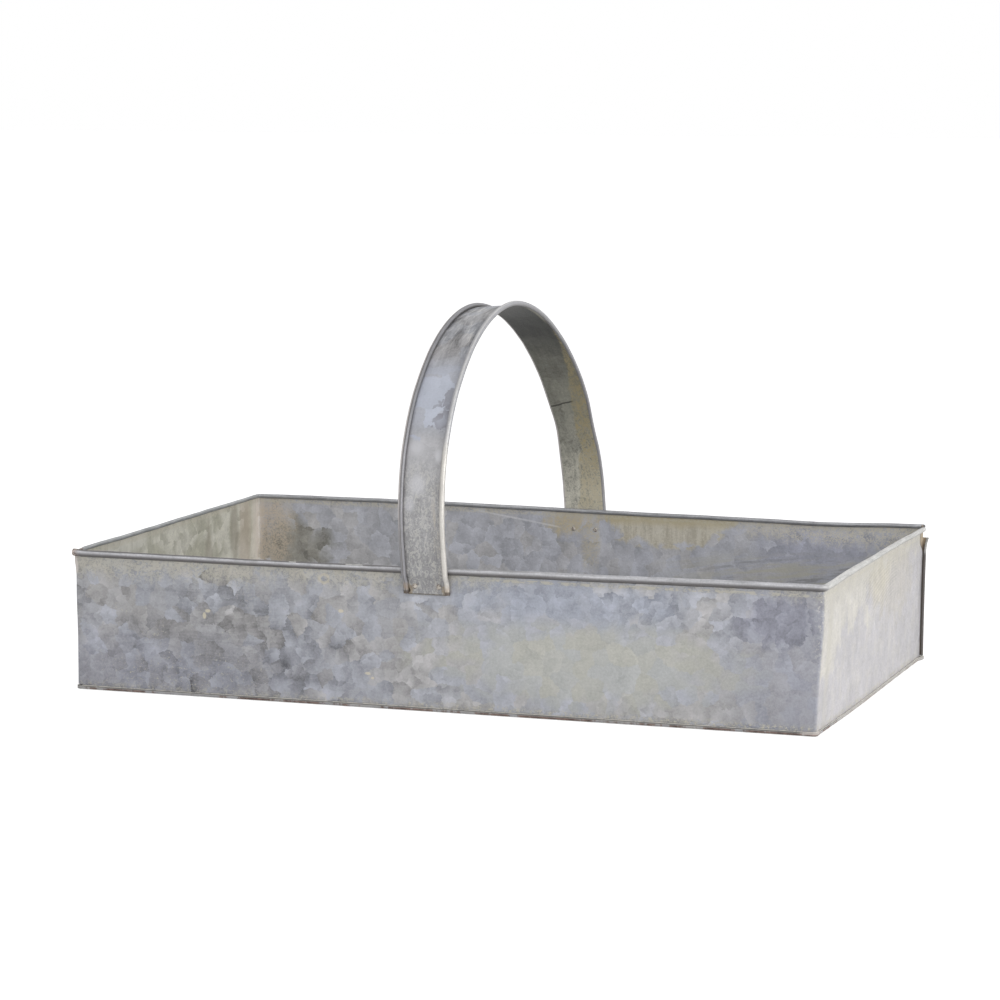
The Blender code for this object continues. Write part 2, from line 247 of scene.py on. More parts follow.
class Finish(Nodes):
    """A procedural material under way. Its colour grows by coats, each laid over what is there."""

    def __init__(self, name):
        self.material = bpy.data.materials.new(name)
        self.material.use_nodes = True
        super().__init__(self.material.node_tree)
        self.shader = self.tree.nodes["Principled BSDF"]
        self.colour = (0.0, 0.0, 0.0)

    def split(self, vector):
        return self.node("SeparateXYZ", {0: vector}, give=(0, 1, 2))

    def read(self, attribute, give="Vector"):
        return self.node("Attribute", {}, give=give, attribute_name=attribute)

    def stretched(self, where, scale, shift=(0.0, 0.0, 0.0)):
        """where * scale + shift."""
        return self.node("VectorMath", {0: where, 1: scale, 2: shift}, operation="MULTIPLY_ADD")

    def noise(self, where, size, detail=3.0, rough=0.55, twist=0.0, stretch=None):
        """Cloudy noise between about -0.5 and 0.5 whose largest blobs are about size metres across.
        A stretch below 1 draws them out along that axis."""
        if stretch:
            where = self.stretched(where, (*stretch, 1.0))
        shape = {"Scale": 1 / size, "Detail": detail, "Roughness": rough, "Distortion": twist}
        return self.node("TexNoise", {"Vector": where, **shape}) - 0.5

    def mix(self, share, first, second):
        """Colours first and second mixed by share."""
        first, second = ((*c, 1.0) if isinstance(c, tuple) else c for c in (first, second))
        return self.node("Mix", {0: share, 6: first, 7: second}, give=2, data_type="RGBA")

    def coat(self, share, colour):
        """Lays a colour over what is there, as far as share says."""
        self.colour = self.mix(share, self.colour, colour)

    def tinted(self, colour, strength):
        """A colour times a number."""
        return self.node("VectorMath", {0: colour, "Scale": strength}, operation="SCALE")

    def patch(self, where, centre, reach, soft, fray=0.0):
        """1 inside the ellipse round centre that reaches so far each way, fading to 0 over soft of it."""
        scale = (1 / reach[0], 1 / reach[1], 0.0)
        offset = self.stretched(where, scale, (-centre[0] / reach[0], -centre[1] / reach[1], 0.0))
        away = self.node("VectorMath", {0: offset}, give="Value", operation="LENGTH")
        return (away + fray).ramp(1.0 + soft / 2, 1.0 - soft / 2)

    def crystals(self, where, size, fray, slope):
        """Zinc crystals as Voronoi cells with frayed outlines, each of its own tone between -0.5 and 0.5,
        which shades off along a direction of its own. Returns the tone and a chance."""
        shape = {"Vector": where, "Scale": 1.4 / size, "Detail": 4.0, "Roughness": 0.62}
        ragged = self.node("TexNoise", shape, give="Color")
        frayed = self.stretched(ragged, (fray * size, fray * size, 0.0), where)
        cells = {"Vector": frayed, "Scale": 1 / size}
        seed, middle = self.node("TexVoronoi", cells, give=("Color", "Position"), voronoi_dimensions="2D")
        tone, way, chance = self.split(seed)
        gap = self.node("VectorMath", {0: frayed, 1: middle}, operation="SUBTRACT")
        right, up, _ = self.split(gap)
        turn = way * (2 * math.pi)
        lean = right * self.maths("COSINE", turn) + up * self.maths("SINE", turn)
        shading = (lean * (slope / size)).ramp(-0.8, 0.8)
        return 0.7 * (tone - 0.5) + 1.1 * shading - 0.55, chance

    def two_crystals(self, where, size, fray, slope, small_shift, small_size, small_slope):
        """Large crystals and, shifted from them, small ones: the large tone, its chance, the small tone."""
        tone, chance = self.crystals(where, size, fray, slope)
        shifted = self.stretched(where, (1.0, 1.0, 1.0), (*small_shift, 0.0))
        return tone, chance, self.crystals(shifted, small_size, fray, small_slope)[0]

    def finished(self, roughness, metallic, height, depth):
        """Feeds the shader and gives the bump node its height, depth metres deep."""
        bump = self.node("Bump", {"Height": height, "Strength": 0.6, "Distance": depth}, give="Normal")
        looks = {"Base Color": self.colour, "Roughness": roughness, "Metallic": metallic, "Normal": bump}
        self.feed(self.shader, looks)
        return self.material


def pan_finish():
    """Dull zinc with rust dashes and a pale dashed line along the top of the turned-up edge, cream residue
    with a painted highlight.
    """
    fin = Finish("pan_zinc")
    place = fin.node("TexCoord", {}, give="Object")
    lay = fin.read("lay")
    _, height, _ = fin.split(lay)
    tone, chance, small = fin.two_crystals(place, 0.013, 1.0, 1.2, (0.37, 0.11), 0.0066, 1.1)
    cloud = fin.noise(place, 0.11, 3.0, 0.55)
    drift = fin.noise(place, 0.036, 5.0, 0.65)
    grain = fin.noise(place, 0.0018, 4.0, 0.75)
    crisp = 1 - 0.6 * (cloud + 0.4 * drift).ramp(-0.06, 0.12)
    light = 0.88 + crisp * (0.26 * tone + 0.15 * small) + 0.4 * cloud + 0.4 * drift + 0.6 * grain
    zinc = fin.mix(chance.ramp(0.2, 0.8), (0.385, 0.395, 0.43), (0.41, 0.405, 0.41))
    fin.colour = fin.tinted(zinc, light)
    bloom = (drift + 0.5 * cloud).ramp(0.04, 0.2)
    fin.coat(0.45 * bloom, (0.5, 0.495, 0.455))
    dregs = (fin.noise(place, 0.005, 5.0, 0.75, 1.5) + 0.6 * drift).ramp(0.1, 0.2)
    fin.coat(0.45 * dregs, (0.26, 0.235, 0.2))
    edge = height.ramp(-0.0006, 0.0002)
    along = fin.stretched(place, (1.0, 1.0, 0.2))
    dashes = (fin.noise(along, 0.022, 4.0, 0.7) + 0.2 * grain).ramp(-0.04, 0.04)
    brown = fin.mix(fin.noise(place, 0.004).ramp(-0.15, 0.15), (0.095, 0.062, 0.05), (0.235, 0.16, 0.13))
    fin.coat(0.6 * edge, (0.27, 0.262, 0.255))
    lines = fin.maths("SINE", height * 4200.0 + 5.0 * fin.noise(along, 0.03))
    fin.coat(0.4 * edge * lines.ramp(0.2, 0.9), (0.58, 0.56, 0.53))
    fin.coat(dashes * edge * 0.9 * height.ramp(0.0022, 0.0017), brown)
    seat = height.band(0.002, 0.0024, 0.0027, 0.0031)
    fin.coat(0.8 * seat, (0.105, 0.098, 0.092))
    along_x, _, _ = fin.split(place)
    flank = along_x.ramp(0.299, 0.3002) * edge
    fin.coat(0.55 * flank, (0.54, 0.515, 0.48))
    # The pale dashed line along the top of the edge: cream residue, and a painted highlight where the top
    # edge catches the light.
    worn = height.ramp(0.0028, 0.0031) * fin.noise(along, 0.006, 4.0, 0.75).ramp(-0.12, 0.0)
    fin.coat(0.9 * worn, (0.66, 0.64, 0.57))
    pink = fin.patch(place, (0.2955, -0.185), (0.009, 0.01), 0.8, 1.5 * grain)
    fin.coat(0.55 * pink * height.ramp(0.0008, 0.0014), (0.72, 0.66, 0.62))
    return fin.finished(0.55 + 0.2 * dashes, 0.25, tone + 1.5 * grain, 0.0002)


def pan_surface():
    """Rounded rectangles that grow from the middle of the floor, then turn up round its edge. Columns go
    round the crate and rows go outwards; the last rows climb the turned-up edge."""
    bend = 2 * CLEARANCE + SHEET / 2
    edge_x, edge_y = HALF_LENGTH + CLEARANCE + SHEET / 2, HALF_WIDTH + CLEARANCE + SHEET / 2
    bent, seamed = WALL_BEND + CLEARANCE + SHEET / 2, 2 * LAYER
    ends, ways = [], []
    for x, y, radius, start in (
        (edge_x, -edge_y, bent, -0.5),
        (edge_x, edge_y, seamed, 0.0),
        (-edge_x, edge_y, bent, 0.5),
        (-edge_x, -edge_y, seamed, 1.0),
    ):
        turn = (start * math.pi, (start + 0.5) * math.pi, 8)
        centre = (x - math.copysign(radius, x), y - math.copysign(radius, y))
        ends.append(arc(centre, radius, *turn))
        ways.append(arc((0.0, 0.0), 1.0, *turn))
    ends, ways = np.concatenate(ends), np.concatenate(ways)
    places, outs = [], []
    for start, end, way in zip(ends, np.roll(ends, -1, axis=0), ways):
        count = max(1, int(round(np.linalg.norm(end - start) / PAN_STEP)))
        places.append(start + (end - start) * (np.arange(count)[:, None] / count))
        outs.append(np.tile(way, (count, 1)))
    places, outs = np.concatenate(places), np.concatenate(outs)
    around = travelled(places)
    at_seam = np.clip(1 - (HALF_WIDTH - np.abs(places[:, 1])) / PAN_EAR_RUN, 0.0, 1.0)
    at_seam *= np.clip(1 - (HALF_LENGTH - np.abs(places[:, 0])) / PAN_EAR_RUN, 0.0, 1.0)
    at_seam *= places[:, 0] * places[:, 1] > 0
    places[:, 0] += PAN_EAR * np.sign(places[:, 0]) * at_seam
    climb = arc((-bend, bend + SHEET / 2 + 0.00001), bend, -math.pi / 2, 0.0, 4)
    section = np.concatenate([climb, [[0.0, PAN_EDGE * 0.6], [0.0, PAN_EDGE]]])
    shrink = np.linspace(PAN_INNERMOST, 1.0, 30)[:-1]
    flat = (places + outs * section[0, 0])[:, None, :] * shrink[:, None]
    wave = 0.6 + 0.4 * np.sin(9 * flat[..., 0] + 14 * flat[..., 1])
    buckle = PAN_BUCKLE * (1 - shrink**2) * wave
    flat = np.concatenate([flat, (buckle + section[0, 1])[..., None]], axis=2)
    edge = places[:, None, :] + outs[:, None, :] * section[:, :1]
    heights = np.broadcast_to(section[:, 1:], (len(places), len(section), 1))
    edge = np.concatenate([edge, heights], axis=2)
    middle = np.concatenate([flat, edge], axis=1)
    lay = np.zeros_like(middle)
    lay[..., 0] = around[:, None]
    lay[..., 1] = np.concatenate([np.full(len(shrink), PAN_FLAT_MARK), section[:, 1]])
    return settled(middle), lay


def fluctuate(x, seed):
    """A slow, smooth wander between about -1 and 1: three sines of unrelated lengths."""
    waves = ((1.0, 31, 1.0), (0.6, 67, 2.1), (0.4, 149, 3.7))
    return sum(share * np.sin(x * pace + start * seed) for share, pace, start in waves) / 2


pan_middle, pan_lay = pan_surface()
pan_cells = np.ones((pan_middle.shape[0], pan_middle.shape[1] - 1), dtype=bool)
pan_slots = np.zeros(pan_cells.shape, dtype=int)
floor_pan = sheet_metal(
    "pan_floor", pan_middle, pan_cells, [pan_finish()], pan_slots, pan_slots, pan_lay,
    closed=True, caps=((0, True),),
)
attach(floor_pan, "root")
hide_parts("floor_pan")


# Wall sheets. Each strip of galvanised steel makes a long wall and a short wall, bent at one corner.
# One end is folded back into a hem that grips the flange of the other sheet, and the top edge is
# rolled outwards round a wire.

RIM_NECK_SHARE = 0.45
RIM_ENTRY = math.radians(25)
RIM_END = math.radians(350)
SEAM_REACH = 0.003
SEAM_BOTTOM = PAN_EDGE + 2 * CLEARANCE
SEAM_TOP = 0.1039
SEAM_SPREAD_HEIGHT = 0.013
REAR_SPREAD = 0.0019
FRONT_SPREAD = 0.0013
FRONT_SWELL = 0.0009
HEM_GAP = 0.0012
MITRE = CLEARANCE
MITRE_RUN = 0.012
SEAM_ROOM = 0.04
BEND_ROOM = 0.05
FOOT_ROOM = 0.045
SWELL_START = 0.045
SWELL_RUN = 0.03
BULGE = 0.0007
SWAY = 0.0003
RIM_WAVE = 0.00018
CORNER_STEPS = 12
OVERRUN = 0.001
FRONT_TIP = -0.3061
TIP_ROUND = 0.0005
TIP_TURN = 0.73
TIP_RIPPLE = 0.0001
LEFT_BEAD_END = 0.1842

# The roll was made by hand, so its middle's height and its radius differ from place to place along the
# rim. Each place is a distance along the sheet.
FRONT_ROLL_PLACES = (0.0, 0.002, 0.008, 0.07, 0.19, 0.37, 0.47, 0.54, 0.59, 0.69, 0.8, 0.9, 0.97)
FRONT_ROLL_HEIGHTS = (
    0.1117, 0.1115, 0.111, 0.1106, 0.1098, 0.1104, 0.1106, 0.1108, 0.1111, 0.1106, 0.1102, 0.1105, 0.1105,
)
FRONT_ROLL_RADII = (
    0.0026, 0.0026, 0.0023, 0.0022, 0.0021, 0.0024, 0.00235, 0.0024, 0.0022, 0.0022, 0.0018, 0.00175, 0.00175,
)
REAR_ROLL_PLACES = (
    0.0, 0.035, 0.06, 0.09, 0.14, 0.22, 0.3, 0.4, 0.55, 0.6, 0.634, 0.714, 0.814, 0.882, 0.944, 0.958, 0.9655,
)
REAR_ROLL_RADII = (0.00155, 0.0014)
REAR_ROLL_TOPS = (1.5, 0.8, -0.3, -0.7, -0.3, 0.0, 0.2, 1.0, 0.5, -0.2, -0.4, 0.55, 0.7, 1.25, 1.9, 2.0, 1.3)


def wall_columns(bend_radius):
    """The wall sheet seen from above: x, y and the outward direction of each column, where the long
    wall starts and the short one ends, the distance along the sheet from the long wall's end, and the
    hem's fold."""
    wall_y, wall_x = -HALF_WIDTH + SHEET / 2, HALF_LENGTH - SHEET / 2
    fold_x, hem_y = -HALF_LENGTH - SEAM_REACH + SHEET / 2 + LAYER, wall_y + 2 * LAYER
    flange_y = HALF_WIDTH - SHEET / 2 - LAYER
    bend = (HALF_LENGTH - bend_radius, -HALF_WIDTH + bend_radius)
    first_x, last_y = -HALF_LENGTH + SHEET + CLEARANCE, flange_y - SHEET
    mitre_x, mitre_y = first_x + MITRE_RUN, last_y - MITRE_RUN
    hem = np.linspace((-HALF_LENGTH - HEM_GAP, hem_y), (fold_x, hem_y), 3)[:-1]
    fold = arc((fold_x, wall_y + LAYER), LAYER, math.pi / 2, 3 * math.pi / 2, 8)
    lap = np.linspace((fold_x, wall_y), (first_x, wall_y), 4)[1:-1]
    long_wall = np.concatenate([
        np.linspace((first_x, wall_y), (mitre_x, wall_y), 6)[:-1],
        np.linspace((mitre_x, wall_y), (bend[0], wall_y), 190)[:-1],
    ])
    corner = arc(bend, bend_radius - SHEET / 2, -math.pi / 2, 0.0, CORNER_STEPS)
    short_wall = np.concatenate([
        np.linspace((wall_x, bend[1]), (wall_x, mitre_y), 112)[1:-1],
        np.linspace((wall_x, mitre_y), (wall_x, last_y), 6),
    ])
    turn_out = arc((wall_x + SHEET, last_y), SHEET, math.pi, math.pi / 2, 4)[1:]
    flange_end = (HALF_LENGTH + SEAM_REACH - SHEET - CLEARANCE, flange_y)
    flange = np.concatenate([turn_out, np.linspace((turn_out[-1, 0], flange_y), flange_end, 3)[1:]])
    place = np.concatenate([hem, fold, lap, long_wall, corner, short_wall, flange])
    first = len(hem) + len(fold) + len(lap)
    last = len(place) - len(flange) - 1
    turn = np.clip((np.arange(len(place)) - first - len(long_wall)) / CORNER_STEPS, 0.0, 1.0) * math.pi / 2
    out = np.stack([np.sin(turn), -np.cos(turn)], axis=1)
    run = travelled(place)
    return place, out, first, last, run + first_x + HALF_LENGTH - run[first], fold_x


def wall_rows(radius, centre):
    """The wall's section for each column's roll, as (outward, height, distance up the sheet, turn of
    the roll): straight up, an arc in under the roll, a short straight, then round the wire."""
    radius, centre = radius[:, None], centre[:, None]
    spread_start = SEAM_TOP - SEAM_SPREAD_HEIGHT
    straight = np.concatenate([
        [PAN_RISE, SEAM_BOTTOM],
        np.linspace(0.008, spread_start, 20),
        np.linspace(spread_start, SEAM_TOP, 7)[1:],
    ])
    neck = RIM_NECK_SHARE * radius
    entry_out, entry_up = -radius * math.sin(RIM_ENTRY), centre - radius * math.cos(RIM_ENTRY)
    turn = math.pi / 2 - RIM_ENTRY
    run = (-entry_out - neck * (1 - math.cos(turn))) / math.sin(turn)
    neck_base = entry_up - run * math.cos(turn) - neck * math.sin(turn)
    neck_turn = np.linspace(0.0, turn, 6)
    roll_turn = np.linspace(RIM_ENTRY, RIM_END, 30)
    upright = np.tile(straight, (len(radius), 1))
    out = np.concatenate(
        [0.0 * upright, neck * (np.cos(neck_turn) - 1), -radius * np.sin(roll_turn)], axis=1
    )
    up = np.concatenate(
        [upright, neck_base + neck * np.sin(neck_turn), centre - radius * np.cos(roll_turn)], axis=1
    )
    step = np.hypot(np.diff(out, axis=1), np.diff(up, axis=1))
    climbed = np.concatenate([up[:, :1], up[:, :1] + np.cumsum(step, axis=1)], axis=1)
    necked = np.linspace(0.0, 0.06, len(neck_turn))
    rolled = np.concatenate([np.zeros(len(straight)), necked, roll_turn / (2 * math.pi)])
    return out, up, climbed, np.tile(rolled, (len(radius), 1)), len(straight), len(neck_turn)


def roll_sizes(run, turned):
    """The roll's radius and its middle's height at each place along the sheet."""
    if turned:
        radius = np.interp(run, (2 * HALF_LENGTH - 0.01, 2 * HALF_LENGTH + 0.01), REAR_ROLL_RADII)
        top = WALL_TOP - SHEET / 2 + 0.001 * np.interp(run, REAR_ROLL_PLACES, REAR_ROLL_TOPS)
        return radius, top - radius
    radius = np.interp(run, FRONT_ROLL_PLACES, FRONT_ROLL_RADII)
    return radius, np.interp(run, FRONT_ROLL_PLACES, FRONT_ROLL_HEIGHTS)


def wall_dents(along, up, last, seed):
    """How far the sheet stands outwards and upwards out of true: a bulge in mid-height and a sway that
    grows with the height squared, none at the seams, the bend and the strap's foot, and a waved rim."""
    seam_room = np.clip(np.minimum(along, along[last] - along) / SEAM_ROOM, 0.0, 1.0)
    bend_room = np.clip(np.abs(along - 2 * HALF_LENGTH) / BEND_ROOM, 0.0, 1.0)
    foot_room = 1 - np.exp(-(((along - HALF_LENGTH) / FOOT_ROOM) ** 4))
    rise = np.clip(up / WALL_TOP, 0.0, 1.0)
    swell = np.sin(math.pi * rise) * fluctuate(along + 0.35 * up, seed)
    sway = rise**2 * fluctuate(0.5 * along, seed + 3)
    wave = rise * RIM_WAVE * fluctuate(along * 1.3, seed + 5) * seam_room
    return seam_room * bend_room * foot_room * (BULGE * swell + SWAY * sway), wave


def roll_cuts(place, way, out, rolled, first, last, turned):
    """How far the roll's rows move along x and y, so that it ends in the cuts at its two seams."""
    columns = np.arange(len(place))[:, None]
    near = np.clip((place[first, 0] + MITRE_RUN - place[:, :1]) / MITRE_RUN, 0.0, 1.0)
    near = near * (columns >= first) * (way[:, 1:] < -0.99)
    if turned:
        near_cut = -HALF_LENGTH + SHEET / 2 - out + MITRE
    else:
        rounding = TIP_ROUND * (1 - np.cos(2 * math.pi * (rolled - TIP_TURN)))
        near_cut = FRONT_TIP + rounding + TIP_RIPPLE * np.sin(44 * rolled)
    late = np.clip((place[:, 1:] - place[last, 1] + MITRE_RUN) / MITRE_RUN, 0.0, 1.0) * (way[:, :1] > 0.99)
    far_cut = LEFT_BEAD_END if turned else HALF_WIDTH - SHEET / 2 + out - MITRE
    return near * (near_cut - place[first, 0]), late * (far_cut - place[last, 1])


def hem_opening(place, up, first, fold_x, turned):
    """How far the hem leans outwards: with the square of the height near the top of the seam, and in
    front with a swell below it."""
    spread = np.clip((up - SEAM_TOP) / SEAM_SPREAD_HEIGHT + 1, 0.0, 1.0) ** 2
    if turned:
        spread = spread * REAR_SPREAD
    else:
        spread = spread * FRONT_SPREAD + FRONT_SWELL * np.clip((up - SWELL_START) / SWELL_RUN, 0.0, 1.0)
    opened = np.clip((place[first, 0] - place[:, :1]) / (place[first, 0] - fold_x), 0.0, 1.0)
    opened = np.where(place[:, 1:] > place[first, 1] + LAYER, 1.0, opened)
    return spread * np.where(np.arange(len(place))[:, None] < first, opened, 0.0)


def wall_surface(turned):
    """Both long and short wall in one grid: each column's place, moved outwards by the section and by a
    slight bulge, its roll cut to meet the other sheet's, and its hem opened towards the top. Beyond the
    cuts the rows of the roll run straight on, only to give the last of them their direction."""
    place, way, first, last, run, fold_x = wall_columns(WALL_BEND)
    blunt = wall_columns(CORNER_RADIUS)[0]
    radius, centre = roll_sizes(run, turned)
    out, up, climbed, rolled, straight, necked = wall_rows(radius, centre)
    columns, rows = np.arange(len(run))[:, None], np.arange(up.shape[1])
    along = run[:, None]
    dented, wave = wall_dents(along, up, last, 2.4 if turned else 0.7)
    moved = out + dented
    curl = np.clip((rows - straight + 1) / necked, 0.0, 1.0)
    x, y = (place[:, k, None] + (blunt - place)[:, k, None] * curl + way[:, k, None] * moved for k in (0, 1))
    rolls = rows >= (straight + 1 if turned else straight + necked)
    near_cut, far_cut = roll_cuts(place, way, out, rolled, first, last, turned)
    x = x + near_cut * rolls - hem_opening(place, up, first, fold_x, turned)
    middle = np.stack([x, y + far_cut * rolls, up + wave], axis=2)
    for index in range(first):
        middle[index, rolls] = middle[first, rolls] - [OVERRUN * (first - index), 0.0, 0.0]
    for index in range(last + 1, len(run)):
        middle[index, rolls] = middle[last, rolls] + [0.0, OVERRUN * (index - last), 0.0]
    if turned:
        middle[..., :2] *= -1.0
    column, row = columns[:-1], rows[:-1]
    top_row = np.where((column < first) & (not turned), straight + necked, straight)
    in_seam = (row > 0) & (row < top_row - 1)
    kept = ((column >= first) & (column < last)) | in_seam
    lay = np.stack([np.broadcast_to(along, up.shape), climbed, rolled], axis=2)
    bead = np.broadcast_to(row >= straight + necked - 2, kept.shape)
    return settled(middle), kept, lay, rolled, bead, radius, first, last


class WallZinc(Finish):
    """A wall's finish: crystals of two sizes, clouds and grain, all in the sheet's own coordinates."""

    def __init__(self, name, seed):
        super().__init__(name)
        lay = self.stretched(self.read("lay"), (1.0, 1.0, 0.0), (0.0, 0.0, seed))
        self.lay = lay
        self.run, self.height, _ = self.split(lay)
        layers = self.two_crystals(lay, 0.013, 1.0, 1.3, (0.37, 0.11), 0.0066, 1.1)
        self.tone, self.chance, self.small = layers
        self.cloud = self.noise(lay, 0.11, 2.0, 0.5)
        self.drift = self.noise(self.stretched(lay, (0.7, 1.0, 1.0), (3.1, 0.0, 0.0)), 0.036, 5.0, 0.62)
        self.grain = self.noise(lay, 0.0019, 4.0, 0.78)

    def fray(self):
        """What makes the outlines of patches uneven."""
        return 1.1 * self.drift + 0.45 * self.tone

    def residue(self, height, low, high):
        """Cream deposit between the heights low and high in crumbs and short worms, ragged below. Returns its
        share and the share of painted shade along the crumbs' outlines, as if each crumb cast a little
        shadow."""
        drip = self.noise(self.lay, 0.007, 5.0, 0.75, stretch=(1.0, 0.3))
        crumb = self.noise(self.lay, 0.0046, 5.0, 0.75, 1.8) + 0.25 * self.grain
        level = height + 0.034 * drip + 0.018 * self.noise(self.lay, 0.04)
        reach = level.ramp(low, high)
        crumb_shade = abs(crumb + 0.05).ramp(0.03, 0.006)
        return reach * (crumb + 0.1 * reach).ramp(-0.01, 0.09), reach * crumb_shade

    def foot_line(self):
        """A thin broken line of deposit just above the floor pan's edge."""
        return self.height.ramp(0.0095, 0.005) * self.noise(self.lay, 0.0035, 4.0, 0.8).ramp(-0.02, 0.1)

    def roll_shadow_and_finish(self, cream, roll_shadow):
        """Painted shadow with some dark soiling in the hollow under the roll, then the shader: duller where
        the deposit lies.
        """
        tone, drift, grain = self.tone, self.drift, self.grain
        self.coat(self.read("roll", "Fac").ramp(0.0, 0.025) * roll_shadow, (0.085, 0.075, 0.065))
        rough = 0.52 + 0.12 * drift + 0.25 * cream + 0.08 * tone + 0.3 * grain
        relief = 0.5 * tone + 1.2 * grain + 0.4 * drift + 1.5 * cream
        return self.finished(rough, 0.28 - 0.26 * cream, relief, 0.0003)


def long_wall_front(fin, left):
    """Zinc of the long wall: darker and crystalline to the left, pale and hazy to the right."""
    lay, run, height, fray = fin.lay, fin.run, fin.height, fin.fray()
    tone, chance, small = fin.tone, fin.chance, fin.small
    drift, grain = fin.drift, fin.grain
    haze = fin.patch(lay, (0.418, 0.045), (0.115, 0.029), 0.6, fray)
    blotch = fin.patch(lay, (0.561, 0.086), (0.025, 0.018), 0.6, 0.9 * fray)
    bright = fin.patch(lay, (0.405, 0.092), (0.085, 0.017), 0.9, fray)
    pale_left = fin.patch(lay, (0.018, 0.06), (0.014, 0.03), 0.9, fray)
    end = run.ramp(0.5, 0.59)
    patchy = fin.noise(lay, 0.055, 3.0).ramp(-0.08, 0.08)
    crisp = (1 - 0.62 * haze) * (1 - 0.45 * end) * (0.7 + 0.5 * patchy)
    odd = chance.ramp(0.8, 0.84) * left - 0.5 * chance.ramp(0.14, 0.1)
    facets = crisp * (0.23 * tone + 0.15 * small - 0.13 * odd)
    strokes = fin.noise(lay, 0.0026, 4.0, 0.7, stretch=(0.09, 1.0))
    brushed = fin.patch(lay, (0.13, 0.068), (0.045, 0.036), 0.8, fray) + 0.3 * left
    # The level of 0.835 is painted shade: the long wall's outside is darkened as if less light fell on it.
    light = 0.835 + facets + 0.2 * fin.cloud + 0.24 * drift + 0.62 * grain + 0.4 * strokes * brushed
    light = light - 0.09 * left + 0.07 * haze - 0.02 * bright - 0.13 * blotch - 0.09 * end + 0.12 * pale_left
    deep = fin.patch(lay, (0.196, 0.03), (0.03, 0.026), 0.9, fray)
    dull = fin.patch(lay, (0.125, 0.04), (0.06, 0.045), 0.9, fray)
    light = light - 0.15 * deep - 0.08 * dull
    light = light + 0.14 * left * height.ramp(0.08, 0.104) - 0.05 * left * height.ramp(0.05, 0.015)
    low_left = left * height.ramp(0.07, 0.02)
    grey = fin.mix(chance.ramp(0.2, 0.8), (0.428, 0.44, 0.486), (0.462, 0.454, 0.458))
    pale_green = fin.mix(chance.ramp(0.3, 0.7), (0.48, 0.49, 0.48), (0.5, 0.5, 0.452))
    grey = fin.mix(0.85 * haze, grey, pale_green)
    grey = fin.mix(0.6 * low_left + 0.7 * blotch + 0.55 * end, grey, (0.416, 0.424, 0.5))
    grey = fin.mix(0.8 * bright, grey, (0.436, 0.464, 0.545))
    return fin.tinted(grey, light)


def short_wall_right(fin):
    """Zinc of the short wall: bright and brushed, with a cream bloom above, greyer below."""
    lay, run, height, fray = fin.lay, fin.run, fin.height, fin.fray()
    tone, drift, grain = fin.tone, fin.drift, fin.grain
    streak = fin.noise(lay, 0.012, 5.0, 0.7, 0.6, stretch=(1.0, 0.3))
    swirl_gap = fin.stretched(lay, (0.3, 1.0, 0.0), (-0.2625, -0.05, 0.0))
    ring = fin.node("VectorMath", {0: swirl_gap}, give="Value", operation="LENGTH")
    swirled = fin.patch(lay, (0.805, 0.086), (0.065, 0.02), 0.8, fray)
    brush = fin.maths("SINE", ring * 2300.0 + 12.0 * drift) * swirled * grain.ramp(-0.2, 0.1)
    bloom = height + 0.12 * drift - 0.16 * (run - 0.66) + 0.06 * streak
    shade = fin.mix(bloom.ramp(0.05, 0.068), (0.534, 0.52, 0.538), (0.596, 0.574, 0.53))
    mottle = (fin.noise(lay, 0.016, 4.0, 0.7) + 0.3 * streak).ramp(-0.04, 0.1)
    shade = fin.mix(0.55 * mottle, shade, (0.58, 0.558, 0.537))
    tan = fin.patch(lay, (0.86, 0.08), (0.06, 0.03), 0.7, fray)
    shade = fin.mix(0.45 * tan, shade, (0.565, 0.527, 0.455))
    ochre = fin.patch(lay, (0.8, 0.09), (0.03, 0.018), 0.8, fray + 1.2 * streak)
    shade = fin.mix(0.4 * ochre, shade, (0.575, 0.525, 0.4))
    pale = 0.92 + 0.17 * streak + 0.42 * drift + 0.09 * tone + 0.07 * fin.small + 0.1 * brush
    pale = pale + 0.85 * grain - 0.07 * run.ramp(0.78, 0.97)
    return fin.tinted(shade, pale)


def front_deposit(fin, side, left):
    """Cream deposit under the rim, in loose crumbs below it, along the foot and beside the bend. Returns
    its share."""
    lay, run, height = fin.lay, fin.run, fin.height
    thinner = 0.004 * run.ramp(0.12, 0.22) + 0.01 * run.ramp(0.32, 0.38)
    raised = height - thinner * run.ramp(0.6, 0.599)
    cream, crumb_shade = fin.residue(raised, 0.084, 0.104)
    cream = cream * (0.66 - 0.26 * side)
    under_rim = height.band(0.103, 0.104, 0.1056, 0.1066) * run.ramp(0.3, 0.33)
    under_rim = under_rim * fin.noise(lay, 0.004, 4.0, 0.8, stretch=(0.5, 1.0)).ramp(-0.04, 0.04)
    cream |= 0.8 * under_rim
    # Painted shade round the crumbs.
    fin.coat(crumb_shade * (0.7 - 0.5 * side), (0.2, 0.195, 0.185))
    sparse = fin.noise(lay, 0.03).ramp(0.0, 0.12) * left
    sparse |= fin.patch(lay, (0.085, 0.016), (0.06, 0.018), 0.8, fin.fray())
    loose = fin.noise(lay, 0.0026, 3.0, 0.8).ramp(0.07, 0.15)
    cream |= loose * sparse * 0.65
    strip = run.band(0.612, 0.618, 0.622, 0.634) * fin.drift.ramp(-0.35, 0.0)
    cream |= fin.foot_line() * (0.45 + 0.4 * run.ramp(0.1, 0.5))
    cream |= strip * 0.3
    fin.coat(cream, (0.565, 0.54, 0.46))
    return cream


